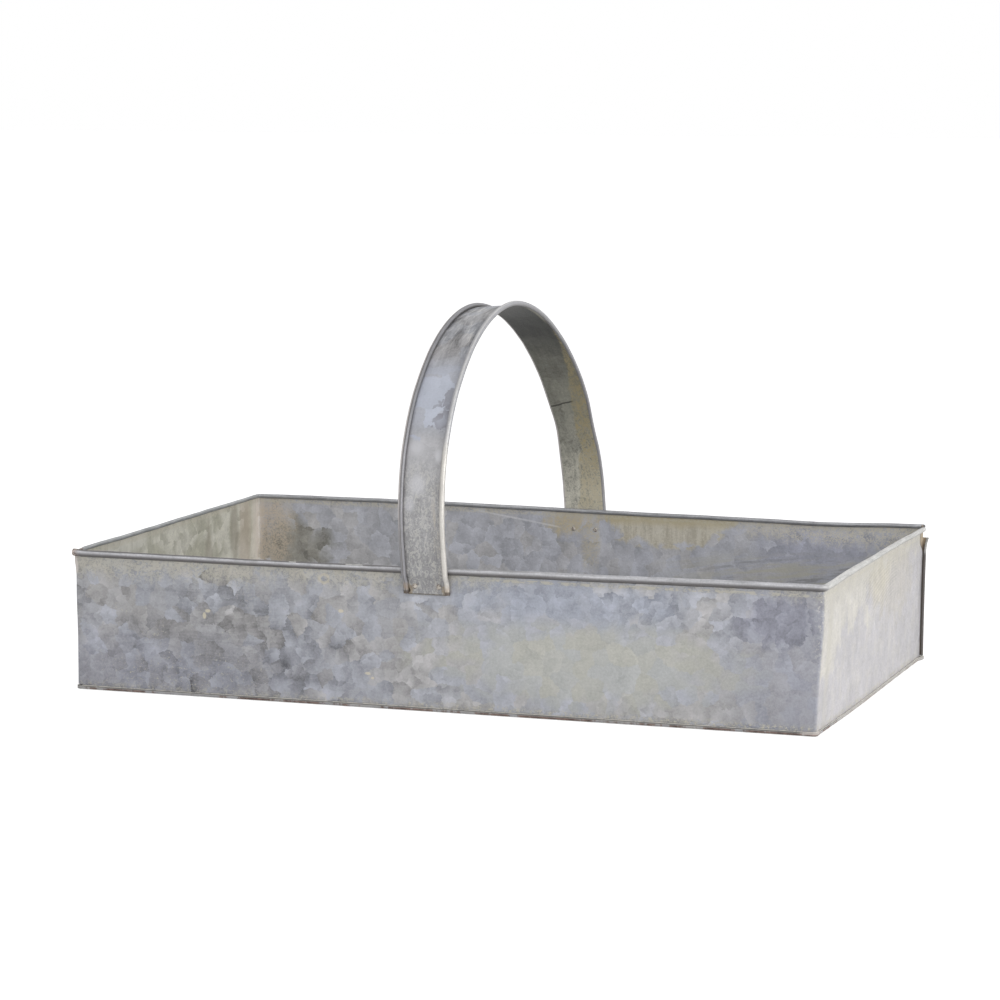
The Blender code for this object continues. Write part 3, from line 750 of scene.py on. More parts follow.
def front_marks(fin):
    """The hem's dark fold with a pink smear, chips along the bend, pale knocks, a ring and dark stains."""
    lay, run, height, grain = fin.lay, fin.run, fin.height, fin.grain
    pink = fin.patch(lay, (-0.0022, 0.102), (0.0014, 0.0075), 0.7, 0.8 * grain)
    fin.coat(0.8 * pink, (0.7, 0.65, 0.62))
    fin.coat(0.75 * run.ramp(-0.0034, -0.0044), (0.13, 0.12, 0.105))
    chips = fin.noise(lay, 0.0028, 4.0, 0.8).ramp(0.02, 0.1)
    chips = chips * run.band(0.59, 0.598, 0.603, 0.618) * height.ramp(0.01, 0.1)
    fin.coat(0.6 * chips, (0.72, 0.69, 0.64))
    for centre, reach in (
        ((0.109, 0.0695), (0.0022, 0.0014)),
        ((0.1062, 0.0655), (0.0014, 0.0024)),
        ((0.2209, 0.075), (0.002, 0.0014)),
        ((0.2432, 0.027), (0.0022, 0.0012)),
        ((0.247, 0.0235), (0.0012, 0.001)),
    ):
        mark = fin.patch(lay, centre, reach, 0.5, 1.6 * grain)
        fin.coat(0.7 * mark, (0.66, 0.6, 0.46))
    outer_ring = fin.patch(lay, (0.2069, 0.1), (0.005, 0.0042), 0.25, 1.2 * grain)
    inner_ring = fin.patch(lay, (0.2072, 0.1), (0.0028, 0.0022), 0.3, 1.2 * grain)
    fin.coat(0.5 * (outer_ring - inner_ring), (0.66, 0.6, 0.46))
    for centre, reach in (
        ((0.032, 0.0314), (0.006, 0.007)),
        ((0.064, 0.0348), (0.004, 0.004)),
        ((0.089, 0.0265), (0.0018, 0.0022)),
    ):
        stain = fin.patch(lay, centre, reach, 0.3, 1.6 * fin.drift + 0.8 * fin.tone)
        fin.coat(0.45 * stain, (0.24, 0.24, 0.27))


def flange_rust(fin):
    """The flange and the hollow behind it, rusty, with a dark line where it leaves the wall: painted shadow
    in the gap, with rust.
    """
    run, height, grain = fin.run, fin.height, fin.grain
    flange = run.ramp(0.9655, 0.9662)
    rusty = fin.mix(grain.ramp(-0.1, 0.12), (0.085, 0.06, 0.042), (0.33, 0.25, 0.17))
    fin.coat(flange, rusty)
    bent_away = run + 0.0125 * height.ramp(0.0905, 0.102) + 0.001 * fin.drift - 0.9655
    hollow = fin.mix((height + 0.01 * grain).ramp(0.094, 0.103), (0.13, 0.095, 0.07), (0.42, 0.345, 0.25))
    fin.coat(bent_away.ramp(-0.0004, 0.0008), hollow)
    # Painted shadow in the gap where the flange leaves the wall, with rust.
    gap_shadow = abs(bent_away).ramp(0.0013, 0.0004)
    fin.coat(0.8 * gap_shadow, (0.06, 0.05, 0.042))


def front_right_outside():
    """The side seen first: each wall's zinc, then the deposit, the marks and the rust."""
    fin = WallZinc("wall_front_outside", 0.0)
    side, left = fin.run.ramp(0.5985, 0.601), fin.run.ramp(0.32, 0.02)
    fin.colour = fin.mix(side, long_wall_front(fin, left), short_wall_right(fin))
    cream = front_deposit(fin, side, left)
    front_marks(fin)
    flange_rust(fin)
    return fin.roll_shadow_and_finish(cream, 0.85 - 0.45 * side)


def plain_side(name, seed, base, cream_colour, streaky):
    """A side that the picture doesn't show: the same zinc with its own clouds, streaks and deposit."""
    fin = WallZinc(name, seed)
    lay, run, height = fin.lay, fin.run, fin.height
    cloud, drift, grain = fin.cloud, fin.drift, fin.grain
    streak = fin.noise(lay, 0.009, 4.0, 0.6, stretch=(1.0, 0.12))
    light = 0.9 + 0.2 * fin.tone + 0.12 * fin.small + 0.34 * cloud + 0.3 * drift + 0.6 * grain
    light = light + streaky * streak
    fin.colour = fin.tinted(fin.mix(fin.chance.ramp(0.2, 0.9), base, tuple(1.02 * c for c in base)), light)
    haze = (cloud + 0.3 * drift).ramp(0.0, 0.12)
    fin.coat(0.45 * haze, (0.47, 0.472, 0.45))
    cream, crumb_shade = fin.residue(height, 0.086, 0.106)
    cream = 0.75 * cream
    # Painted shade round the crumbs.
    fin.coat(0.4 * crumb_shade, (0.22, 0.215, 0.2))
    cream |= 0.5 * fin.foot_line()
    fin.coat(cream, cream_colour)
    hem = run.ramp(-0.002, -0.003)
    worn = fin.mix(grain.ramp(-0.12, 0.1), (0.26, 0.26, 0.25), (0.44, 0.43, 0.41))
    worn = fin.mix(height.ramp(0.094, 0.088), worn, (0.085, 0.072, 0.062))
    fin.coat(0.9 * hem, worn)
    fin.coat(0.75 * run.ramp(-0.0049, -0.0053), (0.075, 0.06, 0.05))
    return fin.roll_shadow_and_finish(cream, 0.85)


def back_wall_inside(fin):
    """Zinc of the back wall's inside: darker crystals, brushed in bars near the seam."""
    lay, run, height = fin.lay, fin.run, fin.height
    tone, chance, drift = fin.tone, fin.chance, fin.drift
    fray = fin.fray()
    brushed = run.ramp(0.26, 0.12) * height.ramp(0.09, 0.07)
    # The level of 1.22, well above the outside's, is painted light: the inside is brightened as if more light
    # fell into it from above.
    light = 1.22 + (1 - 0.75 * brushed) * (0.24 * tone + 0.15 * fin.small)
    light = light + 0.26 * fin.cloud + 0.34 * drift + 0.8 * fin.grain
    dark = fin.patch(lay, (0.566, 0.066), (0.032, 0.022), 0.9, fray)
    grey = fin.mix(chance.ramp(0.2, 0.9), (0.398, 0.406, 0.446), (0.415, 0.412, 0.425))
    violet = fin.patch(lay, (0.095, 0.09), (0.05, 0.016), 0.8, fray)
    grey = fin.mix(0.7 * violet, grey, (0.375, 0.385, 0.46))
    grey = fin.mix(0.7 * dark, grey, (0.4, 0.385, 0.33))
    fin.colour = fin.tinted(grey, light - 0.38 * dark)
    slope = fin.node("VectorRotate", {"Vector": lay, "Angle": 0.14})
    bar = fin.noise(slope, 0.009, 5.0, 0.7, stretch=(0.1, 1.0))
    fin.coat(0.7 * brushed * bar.ramp(-0.04, 0.08), (0.515, 0.5, 0.415))
    fin.coat(0.6 * brushed * bar.ramp(-0.04, -0.12), (0.245, 0.24, 0.245))


def left_wall_inside(fin, streak):
    """The left wall's inside: yellowish and streaked, with smudges and drips, pink along the bend."""
    lay, run, height = fin.lay, fin.run, fin.height
    tone, drift, grain = fin.tone, fin.drift, fin.grain
    left = run.ramp(0.5975, 0.6015)
    patchy = (drift + 0.25 * streak + 0.12 * tone).ramp(-0.14, 0.12)
    yellow = fin.mix(patchy, (0.54, 0.53, 0.43), (0.675, 0.66, 0.575))
    yellow = fin.tinted(yellow, 1.0 + 0.3 * fin.cloud + 0.12 * tone + 0.08 * fin.small + 0.7 * grain)
    grey_left = height.ramp(0.084, 0.1) * run.ramp(0.78, 0.92)
    yellow = fin.mix(0.5 * grey_left * grain.ramp(-0.2, 0.2), yellow, (0.44, 0.44, 0.44))
    for centre, reach in (((0.655, 0.085), (0.009, 0.03)), ((0.712, 0.06), (0.007, 0.035))):
        smudge = fin.patch(lay, centre, reach, 0.9, 1.6 * drift + 0.8 * streak)
        yellow = fin.mix(0.5 * smudge, yellow, (0.3, 0.265, 0.21))
    fin.coat(left, yellow)
    pink = run.band(0.59, 0.599, 0.602, 0.622) * streak.ramp(-0.2, 0.06)
    fin.coat(0.85 * pink, (0.83, 0.77, 0.71))
    drips = fin.patch(lay, (0.632, 0.06), (0.014, 0.06), 0.8, 2.2 * streak)
    fin.coat(0.45 * drips, (0.52, 0.42, 0.34))


def back_deposit(fin, streak):
    """A cream-yellow deposit that has run down from the rim in a half oval, tan beside the bend, stains
    round the strap's foot and crumbs near the seam. Returns the oval's share."""
    lay, run, height, fray = fin.lay, fin.run, fin.height, fin.fray()
    drift, grain = fin.drift, fin.grain
    tan = fin.patch(lay, (0.584, 0.08), (0.016, 0.036), 0.8, fray + 1.6 * grain)
    oval = fin.patch(lay, (0.219, 0.112), (0.056, 0.028), 0.14, 0.35 * fray + 0.5 * streak)
    worm = fin.noise(lay, 0.0024, 4.0, 0.75, 1.5)
    crust = (worm + 0.5 * grain).ramp(-0.1, 0.08)
    fin.coat(tan * (0.2 + 0.62 * crust), (0.66, 0.575, 0.47))
    fin.coat(0.3 * tan * (worm + 0.5 * grain).ramp(-0.08, -0.14), (0.22, 0.19, 0.16))
    dusty = (streak + 0.3 * worm + 0.5 * grain).ramp(-0.14, 0.12)
    creamy = fin.mix(dusty, (0.5, 0.455, 0.345), (0.7, 0.655, 0.535))
    creamy = fin.mix((height + 0.02 * drift).ramp(0.1, 0.108), creamy, (0.57, 0.49, 0.29))
    fin.coat(0.82 * oval, creamy)
    foot = fin.patch(lay, (0.306, 0.107), (0.026, 0.013), 0.6, fray + 1.6 * streak)
    speck = (worm + 0.6 * grain).ramp(-0.1, 0.1)
    fin.coat(foot * (0.38 + 0.5 * speck), (0.6, 0.51, 0.32))
    run_down = fin.patch(lay, (0.29, 0.086), (0.008, 0.022), 0.9, 2.0 * streak)
    fin.coat(run_down * (0.12 + 0.5 * speck), (0.6, 0.53, 0.36))
    ragged = height + 0.03 * streak + 0.012 * drift
    crumbs = (ragged - 0.06 * run).ramp(0.085, 0.096) * run.ramp(0.19, 0.13) * worm.ramp(-0.04, 0.03)
    fin.coat(0.8 * crumbs, (0.68, 0.645, 0.55))
    return oval


def rear_left_inside():
    """Inside of the back and left walls: zinc, stains and deposit, a pale scratch, specks at the rim and
    painted shade under it.
    """
    fin = WallZinc("wall_rear_inside", 4.0)
    run, height = fin.run, fin.height
    tone, drift, grain = fin.tone, fin.drift, fin.grain
    streak = fin.noise(fin.lay, 0.008, 5.0, 0.7, stretch=(1.0, 0.1))
    back_wall_inside(fin)
    left_wall_inside(fin, streak)
    oval = back_deposit(fin, streak)
    beside = abs(height - 0.0957 - 0.149 * (run - 0.3085))
    scratch = beside.ramp(0.0011, 0.0004) * run.band(0.313, 0.324, 0.388, 0.398)
    fin.coat(0.42 * scratch, (0.82, 0.82, 0.84))
    band = height.ramp(0.1055, 0.1075)
    fin.coat(band * grain.ramp(-0.12, 0.08) * 0.7, (0.62, 0.58, 0.48))
    # Painted shade in the hollow under the roll.
    neck_shade = fin.read("roll", "Fac").ramp(0.01, 0.04)
    fin.coat(0.4 * neck_shade, (0.2, 0.185, 0.16))
    rough = 0.52 + 0.12 * drift + 0.2 * oval + 0.08 * tone + 0.3 * grain
    relief = 0.5 * tone + 1.2 * grain + 0.4 * drift
    return fin.finished(rough, 0.22 - 0.16 * oval, relief, 0.0003)


def rim_finish(name, front, flank, seed, stained):
    """The rolled rim: rubbed zinc, streaked along its length, with painted shade where it turns down, on its
    inner side and in a thin line under the short wall's roll, a painted shadow along its free edge, a darker
    top towards the long wall's left end, and tan where it is cut off at a seam. Its colour is front on the
    long wall and flank on the short."""
    fin = Finish(name)
    lay = fin.stretched(fin.read("lay"), (1.0, 1.0, 0.0))
    run, _, _ = fin.split(lay)
    lay = fin.stretched(lay, (1.0, 1.0, 0.0), (seed, 0.0, 0.0))
    turn = fin.read("roll", "Fac")
    length = fin.noise(lay, 0.0022, 5.0, 0.75, stretch=(0.1, 1.0))
    blotch = fin.noise(lay, 0.016, 4.0, 0.65)
    grain = fin.noise(lay, 0.0017, 4.0, 0.75)
    side = run.ramp(0.597, 0.603)
    light = 1.04 + 1.7 * length + 0.7 * blotch + 0.8 * grain
    fin.colour = fin.tinted(fin.mix(side, front, flank), light)
    worn = blotch.ramp(0.06, 0.18) * (1 - 0.7 * side)
    fin.coat(0.35 * worn, (0.25, 0.24, 0.23))
    # Painted shade on the roll's lower half, in a thin line under the short wall's roll and on its inner
    # side. The top is also darker towards the long wall's left end.
    low = (turn + 0.1 * length).ramp(0.67, 0.84) * (1 - 0.65 * side)
    under = abs(turn + 0.06 * length - 0.86).ramp(0.045, 0.02) * side
    upper = (turn + 0.05 * length).ramp(0.645, 0.6) * run.ramp(0.46, 0.2) * stained
    inner = turn.ramp(0.22, 0.1)
    shade_and_grime = low | 0.95 * upper | 0.3 * inner
    shade_and_grime |= 0.75 * under * length.ramp(-0.08, 0.06)
    fin.coat(0.82 * shade_and_grime, (0.095, 0.086, 0.082))
    # Painted shadow along the roll's free edge, where it tucks in against the wall.
    edge = (turn + 0.03 * grain).ramp(0.93, 0.96)
    fin.coat(0.9 * edge, (0.05, 0.043, 0.038))
    for start, stop in ((0.178, 0.185), (0.225, 0.24)):
        fleck = run.band(start, start + 0.001, stop - 0.001, stop) * stained
        fleck = fleck * abs(turn - 0.565).ramp(0.045, 0.02)
        fin.coat(0.85 * fleck * grain.ramp(-0.14, -0.04), (0.82, 0.82, 0.78))
    cut = run.ramp(0.0048, 0.0015) * stained | run.ramp(0.961, 0.964) * (1 - stained)
    tan = fin.mix((grain + 0.5 * length).ramp(-0.08, 0.06), (0.13, 0.085, 0.068), (0.56, 0.47, 0.42))
    fin.coat(0.75 * cut, tan)
    rough = 0.44 + 0.3 * blotch + 0.3 * shade_and_grime + 0.3 * grain
    return fin.finished(rough, 0.42 - 0.38 * shade_and_grime, length + grain, 0.0004)


def wall_sheet(name, node, turned, finishes):
    """Makes one wall sheet. Its finishes are the outside, the inside and the rim."""
    middle, kept, lay, rolled, bead, radius, first, last = wall_surface(turned)
    outer = np.where(bead, 2, 0)
    inner = np.where(bead, 2, 1)
    thing = sheet_metal(name, middle, kept, finishes, outer, inner, lay, rolled)
    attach(thing, "root")
    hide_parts(node)
    return middle, radius, first, last


front_right = wall_sheet(
    "wall_front_right", "wall_sheet_front_right", False,
    [
        front_right_outside(),
        plain_side("wall_front_inside", 7.0, (0.5, 0.505, 0.52), (0.62, 0.59, 0.49), 0.15),
        rim_finish("rim_front", (0.465, 0.465, 0.485), (0.56, 0.555, 0.54), 0.0, 1.0),
    ],
)
rear_left = wall_sheet(
    "wall_rear_left", "wall_sheet_rear_left", True,
    [
        plain_side("wall_rear_outside", 2.0, (0.44, 0.448, 0.48), (0.56, 0.535, 0.455), 0.1),
        rear_left_inside(),
        rim_finish("rim_rear", (0.36, 0.365, 0.38), (0.37, 0.38, 0.385), 3.0, 0.0),
    ],
)


# Rim wires. A steel wire of about 4 mm lies in each rolled rim and stiffens it. It shows only where the
# roll is cut off at the two seamed corners, brown with rust.

BEAD_ROWS = slice(-27, -3)


def wire_finish():
    """Rust and dull steel in blotches."""
    fin = Finish("wire_steel")
    place = fin.node("TexCoord", {}, give="Object")
    blotch = fin.noise(place, 0.003, 4.0, 0.7)
    grain = fin.noise(place, 0.0006, 3.0, 0.7)
    steel = (blotch + 0.4 * grain).ramp(-0.15, 0.15)
    fin.colour = fin.mix(steel, (0.2, 0.155, 0.125), (0.47, 0.405, 0.35))
    return fin.finished(0.65 + 0.3 * grain, 0.5, blotch + grain, 0.0002)


def tube(name, node, rings, forwards, finish, lay):
    """A closed tube with flat ends through rings of points. forwards tells which way the rings wind."""
    index = np.arange(rings.shape[0] * rings.shape[1]).reshape(rings.shape[:2])
    beyond = np.roll(index, -1, axis=1)
    walls = np.stack([index[:-1], beyond[:-1], beyond[1:], index[1:]], axis=2).reshape(-1, 4)
    faces = [walls, index[:1, ::-1], index[-1:]]
    if not forwards:
        faces = [block[:, ::-1] for block in faces]
    slots = [np.zeros(len(block), dtype=int) for block in faces]
    thing = make_object(name, rings.reshape(-1, 3), faces, [finish], slots, lay)
    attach(thing, "root")
    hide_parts(node)


def wire(name, node, path, sideways, upwards, radius, sides):
    """A round wire: at each station of the path, middle + r * (cos a * sideways + sin a * upwards)."""
    angle = np.linspace(0.0, 2 * math.pi, sides + 1)[:-1, None]
    spokes = np.cos(angle) * sideways[:, None, :] + np.sin(angle) * upwards[:, None, :]
    rings = path[:, None, :] + radius[:, None, None] * spokes
    forwards = np.cross(sideways[0], upwards[0]) @ (path[1] - path[0]) > 0
    tube(name, node, rings, forwards, wire_steel, np.repeat(path, sides, axis=0))


wire_steel = wire_finish()
for label, node_name, sheet in (
    ("wire_rim_front_right", "rim_wire_front_right", front_right),
    ("wire_rim_rear_left", "rim_wire_rear_left", rear_left),
):
    sheet_middle, sheet_radius, sheet_first, sheet_last = sheet
    between_seams = slice(sheet_first, sheet_last + 1)
    bead_rows = sheet_middle[between_seams, BEAD_ROWS]
    bead_centre = (bead_rows.min(axis=1) + bead_rows.max(axis=1)) / 2
    rim_radius = sheet_radius[between_seams] - SHEET / 2 - CLEARANCE
    along = np.gradient(bead_centre, axis=0)
    along[:, 2] = 0.0
    along /= np.linalg.norm(along, axis=1, keepdims=True)
    outward = np.stack([along[:, 1], -along[:, 0], np.zeros(len(along))], axis=1)
    upright = np.tile([0.0, 0.0, 1.0], (len(along), 1))
    wire(label, node_name, bead_centre, outward, upright, rim_radius, 16)


# Handle strap. One strip of zinc-coated steel, both edges rolled outwards round thin wires. It arches
# over the middle, steps out over the rim and lies flat against the outside of both long walls.

STRAP_CENTRE = 0.0167
STRAP_RADIUS = 0.0018
STRAP_TURN = math.radians(300)
FOOT_BOTTOM = 0.0905
FOOT_Y = 0.1846
LEG_Y = 0.1871
JOGGLE_RADIUS = 0.008
JOGGLE_TOP = 0.1079
ARCH_SPRING = 0.1333
LEAN = math.radians(4.4)
HANDLE_TOP = 0.30515
ARCH_RISE = HANDLE_TOP - 2 * STRAP_RADIUS - SHEET / 2 - STRAP_CENTRE * math.sin(LEAN) - ARCH_SPRING
ARCH_POWER = 2 / 1.88
ROLL_STOP = 0.0008
ROLL_STOP_STEPS = 4
FOOT_ROUND = 0.0035
FOOT_SHIFT = -0.0012
FOOT_SKEW = 0.0131
FLAT_TURN = 75 / 360
STRAP_BOW = 0.00035
FREE_START = 0.125
FREE_RUN = 0.02
TOP_ROOM = 0.012
PINCH_SHARE = 0.085
PINCH_PLACE = 0.538
PINCH_REACH = 0.02


def hoop_line():
    """The hoop's side view from the front foot to the back one, as (y, z): a short straight, two arcs
    that step out over the rim, then y = a cos(t)^p and z = b sin(t)^p for the arch, and mirrored."""
    turn = math.acos(1 - (LEG_Y - FOOT_Y) / (2 * JOGGLE_RADIUS))
    low = JOGGLE_TOP - 2 * JOGGLE_RADIUS * math.sin(turn)
    foot = np.linspace((FOOT_Y, FOOT_BOTTOM), (FOOT_Y, FOOT_BOTTOM + ROLL_STOP), ROLL_STOP_STEPS + 1)
    lower = arc((FOOT_Y + JOGGLE_RADIUS, low), JOGGLE_RADIUS, math.pi, math.pi - turn, 8)
    upper = arc((LEG_Y - JOGGLE_RADIUS, JOGGLE_TOP), JOGGLE_RADIUS, -turn, 0.0, 8)[1:]
    leg = np.linspace((LEG_Y, JOGGLE_TOP), (LEG_Y, ARCH_SPRING), 10)[1:-1]
    angle = np.linspace(0.0, math.pi / 2, 90)
    across = LEG_Y * np.maximum(np.cos(angle), 0.0) ** ARCH_POWER
    across[-1] = 0.0
    arch = np.stack([across, ARCH_SPRING + ARCH_RISE * np.sin(angle) ** ARCH_POWER], axis=1)
    half = np.concatenate([foot, lower, upper, leg, arch])
    return np.concatenate([half[:-1] * [-1.0, 1.0], half[::-1]])


def strap_pinch(length):
    """How much of its width the strap keeps: less by a Gaussian's share at the crease in its back leg."""
    return 1 - PINCH_SHARE * np.exp(-(((length - PINCH_PLACE) / PINCH_REACH) ** 2))


def strap_surface():
    """Across the strap: a roll, the flat web and a roll, where a roll is centre + r (sin a, 1 - cos a).
    That section is carried along the hoop, whose middle leans and whose feet are a little out of line."""
    path = hoop_line()
    tangent = np.gradient(path, axis=0)
    tangent /= np.linalg.norm(tangent, axis=1, keepdims=True)
    outward = np.stack([-tangent[:, 1], tangent[:, 0]], axis=1)
    angle = np.linspace(0.0, STRAP_TURN, 19)
    roll = np.stack([STRAP_CENTRE + STRAP_RADIUS * np.sin(angle), STRAP_RADIUS * (1 - np.cos(angle))], axis=1)
    web = np.linspace((-STRAP_CENTRE, 0.0), (STRAP_CENTRE, 0.0), 19)[1:-1]
    section = np.concatenate([(roll * [-1.0, 1.0])[::-1], web, roll])
    rolled = np.concatenate([angle[::-1], np.zeros(len(web)), angle])[:, None] / (2 * math.pi)
    width, length = travelled(section)[:, None], travelled(path)
    y, z = path[:, 0], path[:, 1]
    hoop_x = FOOT_SHIFT + FOOT_SKEW * y / (2 * HALF_WIDTH) - math.tan(LEAN) * (z - FOOT_BOTTOM)
    tilt = LEAN * np.maximum(0.0, z - ARCH_SPRING) / ARCH_RISE
    pinch = strap_pinch(length)
    side, out = section[:, :1], section[:, 1:]
    share = side / STRAP_CENTRE
    across = side + STRAP_CENTRE * (pinch - 1) * np.clip(share, -1.0, 1.0)
    bow = STRAP_BOW * np.clip(1 - rolled * 6, 0.0, 1.0) * np.cos(share * math.pi / 2)
    free = np.clip((z - FREE_START) / FREE_RUN, 0.0, 1.0)
    below_top = np.clip((HANDLE_TOP - TOP_ROOM - z) / FREE_RUN, 0.0, 1.0)
    dent = STRAP_BOW * (fluctuate(length * 1.7, 1.1) - 1) * np.minimum(free, below_top)
    out = out + bow * free + dent
    x = hoop_x + across * np.cos(tilt) - outward[:, 1] * out * np.sin(tilt)
    up = z + across * np.sin(tilt) + outward[:, 1] * out * np.cos(tilt)
    middle = np.stack([x, y + outward[:, 0] * out, up], axis=2)
    foot_half = STRAP_CENTRE + STRAP_RADIUS * math.sin(2 * math.pi * FLAT_TURN)
    corner = np.clip(np.abs(side) - (foot_half - FOOT_ROUND), 0.0, FOOT_ROUND)
    lift = FOOT_ROUND - np.sqrt(np.maximum(FOOT_ROUND**2 - corner**2, 0.0))
    below = np.clip((FOOT_BOTTOM + ROLL_STOP - z) / ROLL_STOP, 0.0, 1.0)
    middle[..., 2] += np.minimum(lift, ROLL_STOP * 0.8) * below
    row = np.arange(len(path) - 1)
    flat_column = (rolled[:-1] < FLAT_TURN) & (rolled[1:] < FLAT_TURN)
    kept = flat_column | ((row >= ROLL_STOP_STEPS) & (row < len(row) - ROLL_STOP_STEPS))
    lay = np.stack([width - width[-1] / 2 + 0 * x, length + 0 * x, 0 * x], axis=2)
    bead = np.broadcast_to((rolled[:-1] + rolled[1:]) / 2 > 0.02, kept.shape)
    return middle, kept, lay, np.broadcast_to(rolled, x.shape), bead, path, outward, hoop_x, tilt, pinch


def strap_layers(name, seed):
    """Crystals, clouds, worms of deposit and grain along the strap, which is brushed lengthwise."""
    fin = Finish(name)
    lay = fin.stretched(fin.read("lay"), (1.0, 1.0, 0.0), (0.0, 0.0, seed))
    side, length, _ = fin.split(lay)
    tone, chance, small = fin.two_crystals(lay, 0.018, 0.9, 1.2, (0.61, 0.13), 0.007, 1.0)
    drift = fin.noise(lay, 0.03, 4.0, 0.62)
    worm = fin.noise(lay, 0.0044, 5.0, 0.74, 2.0, stretch=(1.0, 0.55))
    grain = fin.noise(lay, 0.0019, 4.0, 0.78)
    streak = fin.noise(lay, 0.0044, 5.0, 0.74, stretch=(1.0, 0.1))
    return fin, lay, side, length, tone, chance, small, drift, worm, grain, streak


def strap_edges(fin, lay, side, length, grain, streak):
    """Tan along the right edge, painted shade in the gutters beside the rolls, dark ends, and rust round the
    ends of the two wires at the front foot, with painted shade where the rolls open there."""
    tan = side.ramp(0.003, 0.012) * length.ramp(0.1, 0.05) * streak.ramp(-0.02, 0.1)
    fin.coat(0.5 * tan, (0.56, 0.5, 0.4))
    # Painted shade in the gutters beside the rolls.
    gutter_shade = (abs(side) + 0.0012 * streak).ramp(0.0156, 0.0166)
    fin.coat(0.7 * gutter_shade, (0.095, 0.088, 0.082))
    tack = length.ramp(0.0016, 0.0006) | length.ramp(0.6338, 0.6348)
    fin.coat(0.7 * tack, (0.1, 0.085, 0.065))
    ring = fin.patch(lay, (-0.015, 0.004), (0.0036, 0.0038), 0.5, 1.2 * grain)
    ring |= fin.patch(lay, (0.015, 0.004), (0.0034, 0.0036), 0.5, 1.2 * grain)
    fin.coat(0.6 * ring, (0.34, 0.26, 0.16))
    # Painted shade where the rolls open beside the wires' ends.
    hole_shade = fin.patch(lay, (-0.0152, 0.0034), (0.0015, 0.0018), 0.4)
    hole_shade |= fin.patch(lay, (0.0155, 0.0034), (0.0016, 0.002), 0.4)
    fin.coat(0.9 * hole_shade, (0.05, 0.038, 0.03))


def strap_outside():
    """Brushed grey over the top, one large blue crystal at the front leg's shoulder, and a fine wormy
    deposit with soft pale blobs below it."""
    layers = strap_layers("strap_outside", 0.0)
    fin, lay, side, length, tone, chance, small, drift, worm, grain, streak = layers
    top, low = length.ramp(0.175, 0.235), length.ramp(0.115, 0.08)
    light = 0.97 + 0.1 * tone + 0.06 * small + 0.34 * drift + 0.6 * grain
    stroke = fin.noise(lay, 0.012, 5.0, 0.72, 0.8, stretch=(1.0, 0.3))
    light = light + 1.4 * streak * (0.2 + 0.8 * top) - 0.15 * top - 0.17 * length.ramp(0.06, 0.025)
    light = light - 0.26 * top * side.ramp(0.004, 0.016) + 2.6 * stroke * top
    light = light + 0.6 * low * streak
    grey = fin.mix(chance.ramp(0.2, 0.9), (0.4, 0.408, 0.44), (0.42, 0.412, 0.42))
    grey = fin.mix(length.ramp(0.135, 0.12), grey, (0.44, 0.438, 0.456))
    around = length.band(0.12, 0.14, 0.19, 0.215)
    grey = fin.mix(0.7 * around, grey, (0.43, 0.446, 0.505))
    fin.colour = fin.tinted(grey, light)
    marks = worm + 0.35 * grain
    line = low * abs(marks + 0.03).ramp(0.03, 0.006)
    wormy = low * marks.ramp(-0.02, 0.1)
    fin.coat(0.7 * wormy, (0.57, 0.56, 0.52))
    dark_worm = 0.55 * low * marks.ramp(-0.06, -0.14) | 0.65 * line
    fin.coat(dark_worm, (0.17, 0.165, 0.155))
    for centre, reach, share in (
        ((-0.007, 0.116), (0.006, 0.0065), 0.55),
        ((-0.004, 0.085), (0.0062, 0.0075), 0.65),
        ((-0.01, 0.071), (0.004, 0.006), 0.55),
        ((0.011, 0.108), (0.0022, 0.005), 0.6),
    ):
        blob = fin.patch(lay, centre, reach, 1.3, 1.2 * drift + 0.8 * grain)
        fin.coat(share * blob, (0.62, 0.62, 0.65))
    fleck = top * (streak + 0.5 * stroke + 0.2 * grain).ramp(0.06, 0.16)
    fin.coat(0.6 * fleck, (0.62, 0.61, 0.58))
    fray = 0.9 * drift + 0.55 * tone
    blue = fin.patch(lay, (-0.001, 0.166), (0.021, 0.031), 0.14, fray)
    sky = fin.tinted((0.505, 0.534, 0.615), 1.0 + 0.1 * tone + 0.3 * grain + 0.3 * drift)
    fin.coat(0.9 * blue * length.ramp(0.205, 0.175), sky)
    for centre, reach in (((0.0125, 0.16), (0.006, 0.008)), ((0.01, 0.141), (0.0085, 0.009))):
        dark = fin.patch(lay, centre, reach, 0.12, 0.9 * tone + 0.5 * small + 0.8 * drift)
        fin.coat(dark * (0.7 + 0.5 * tone), (0.235, 0.228, 0.255))
    strap_edges(fin, lay, side, length, grain, streak)
    rough = 0.5 + 0.15 * drift + 0.2 * wormy + 0.3 * grain
    relief = 0.4 * tone + grain + 1.6 * (worm + 0.5) * low + 0.5 * streak
    return fin.finished(rough, 0.28 - 0.2 * wormy, relief, 0.00035)


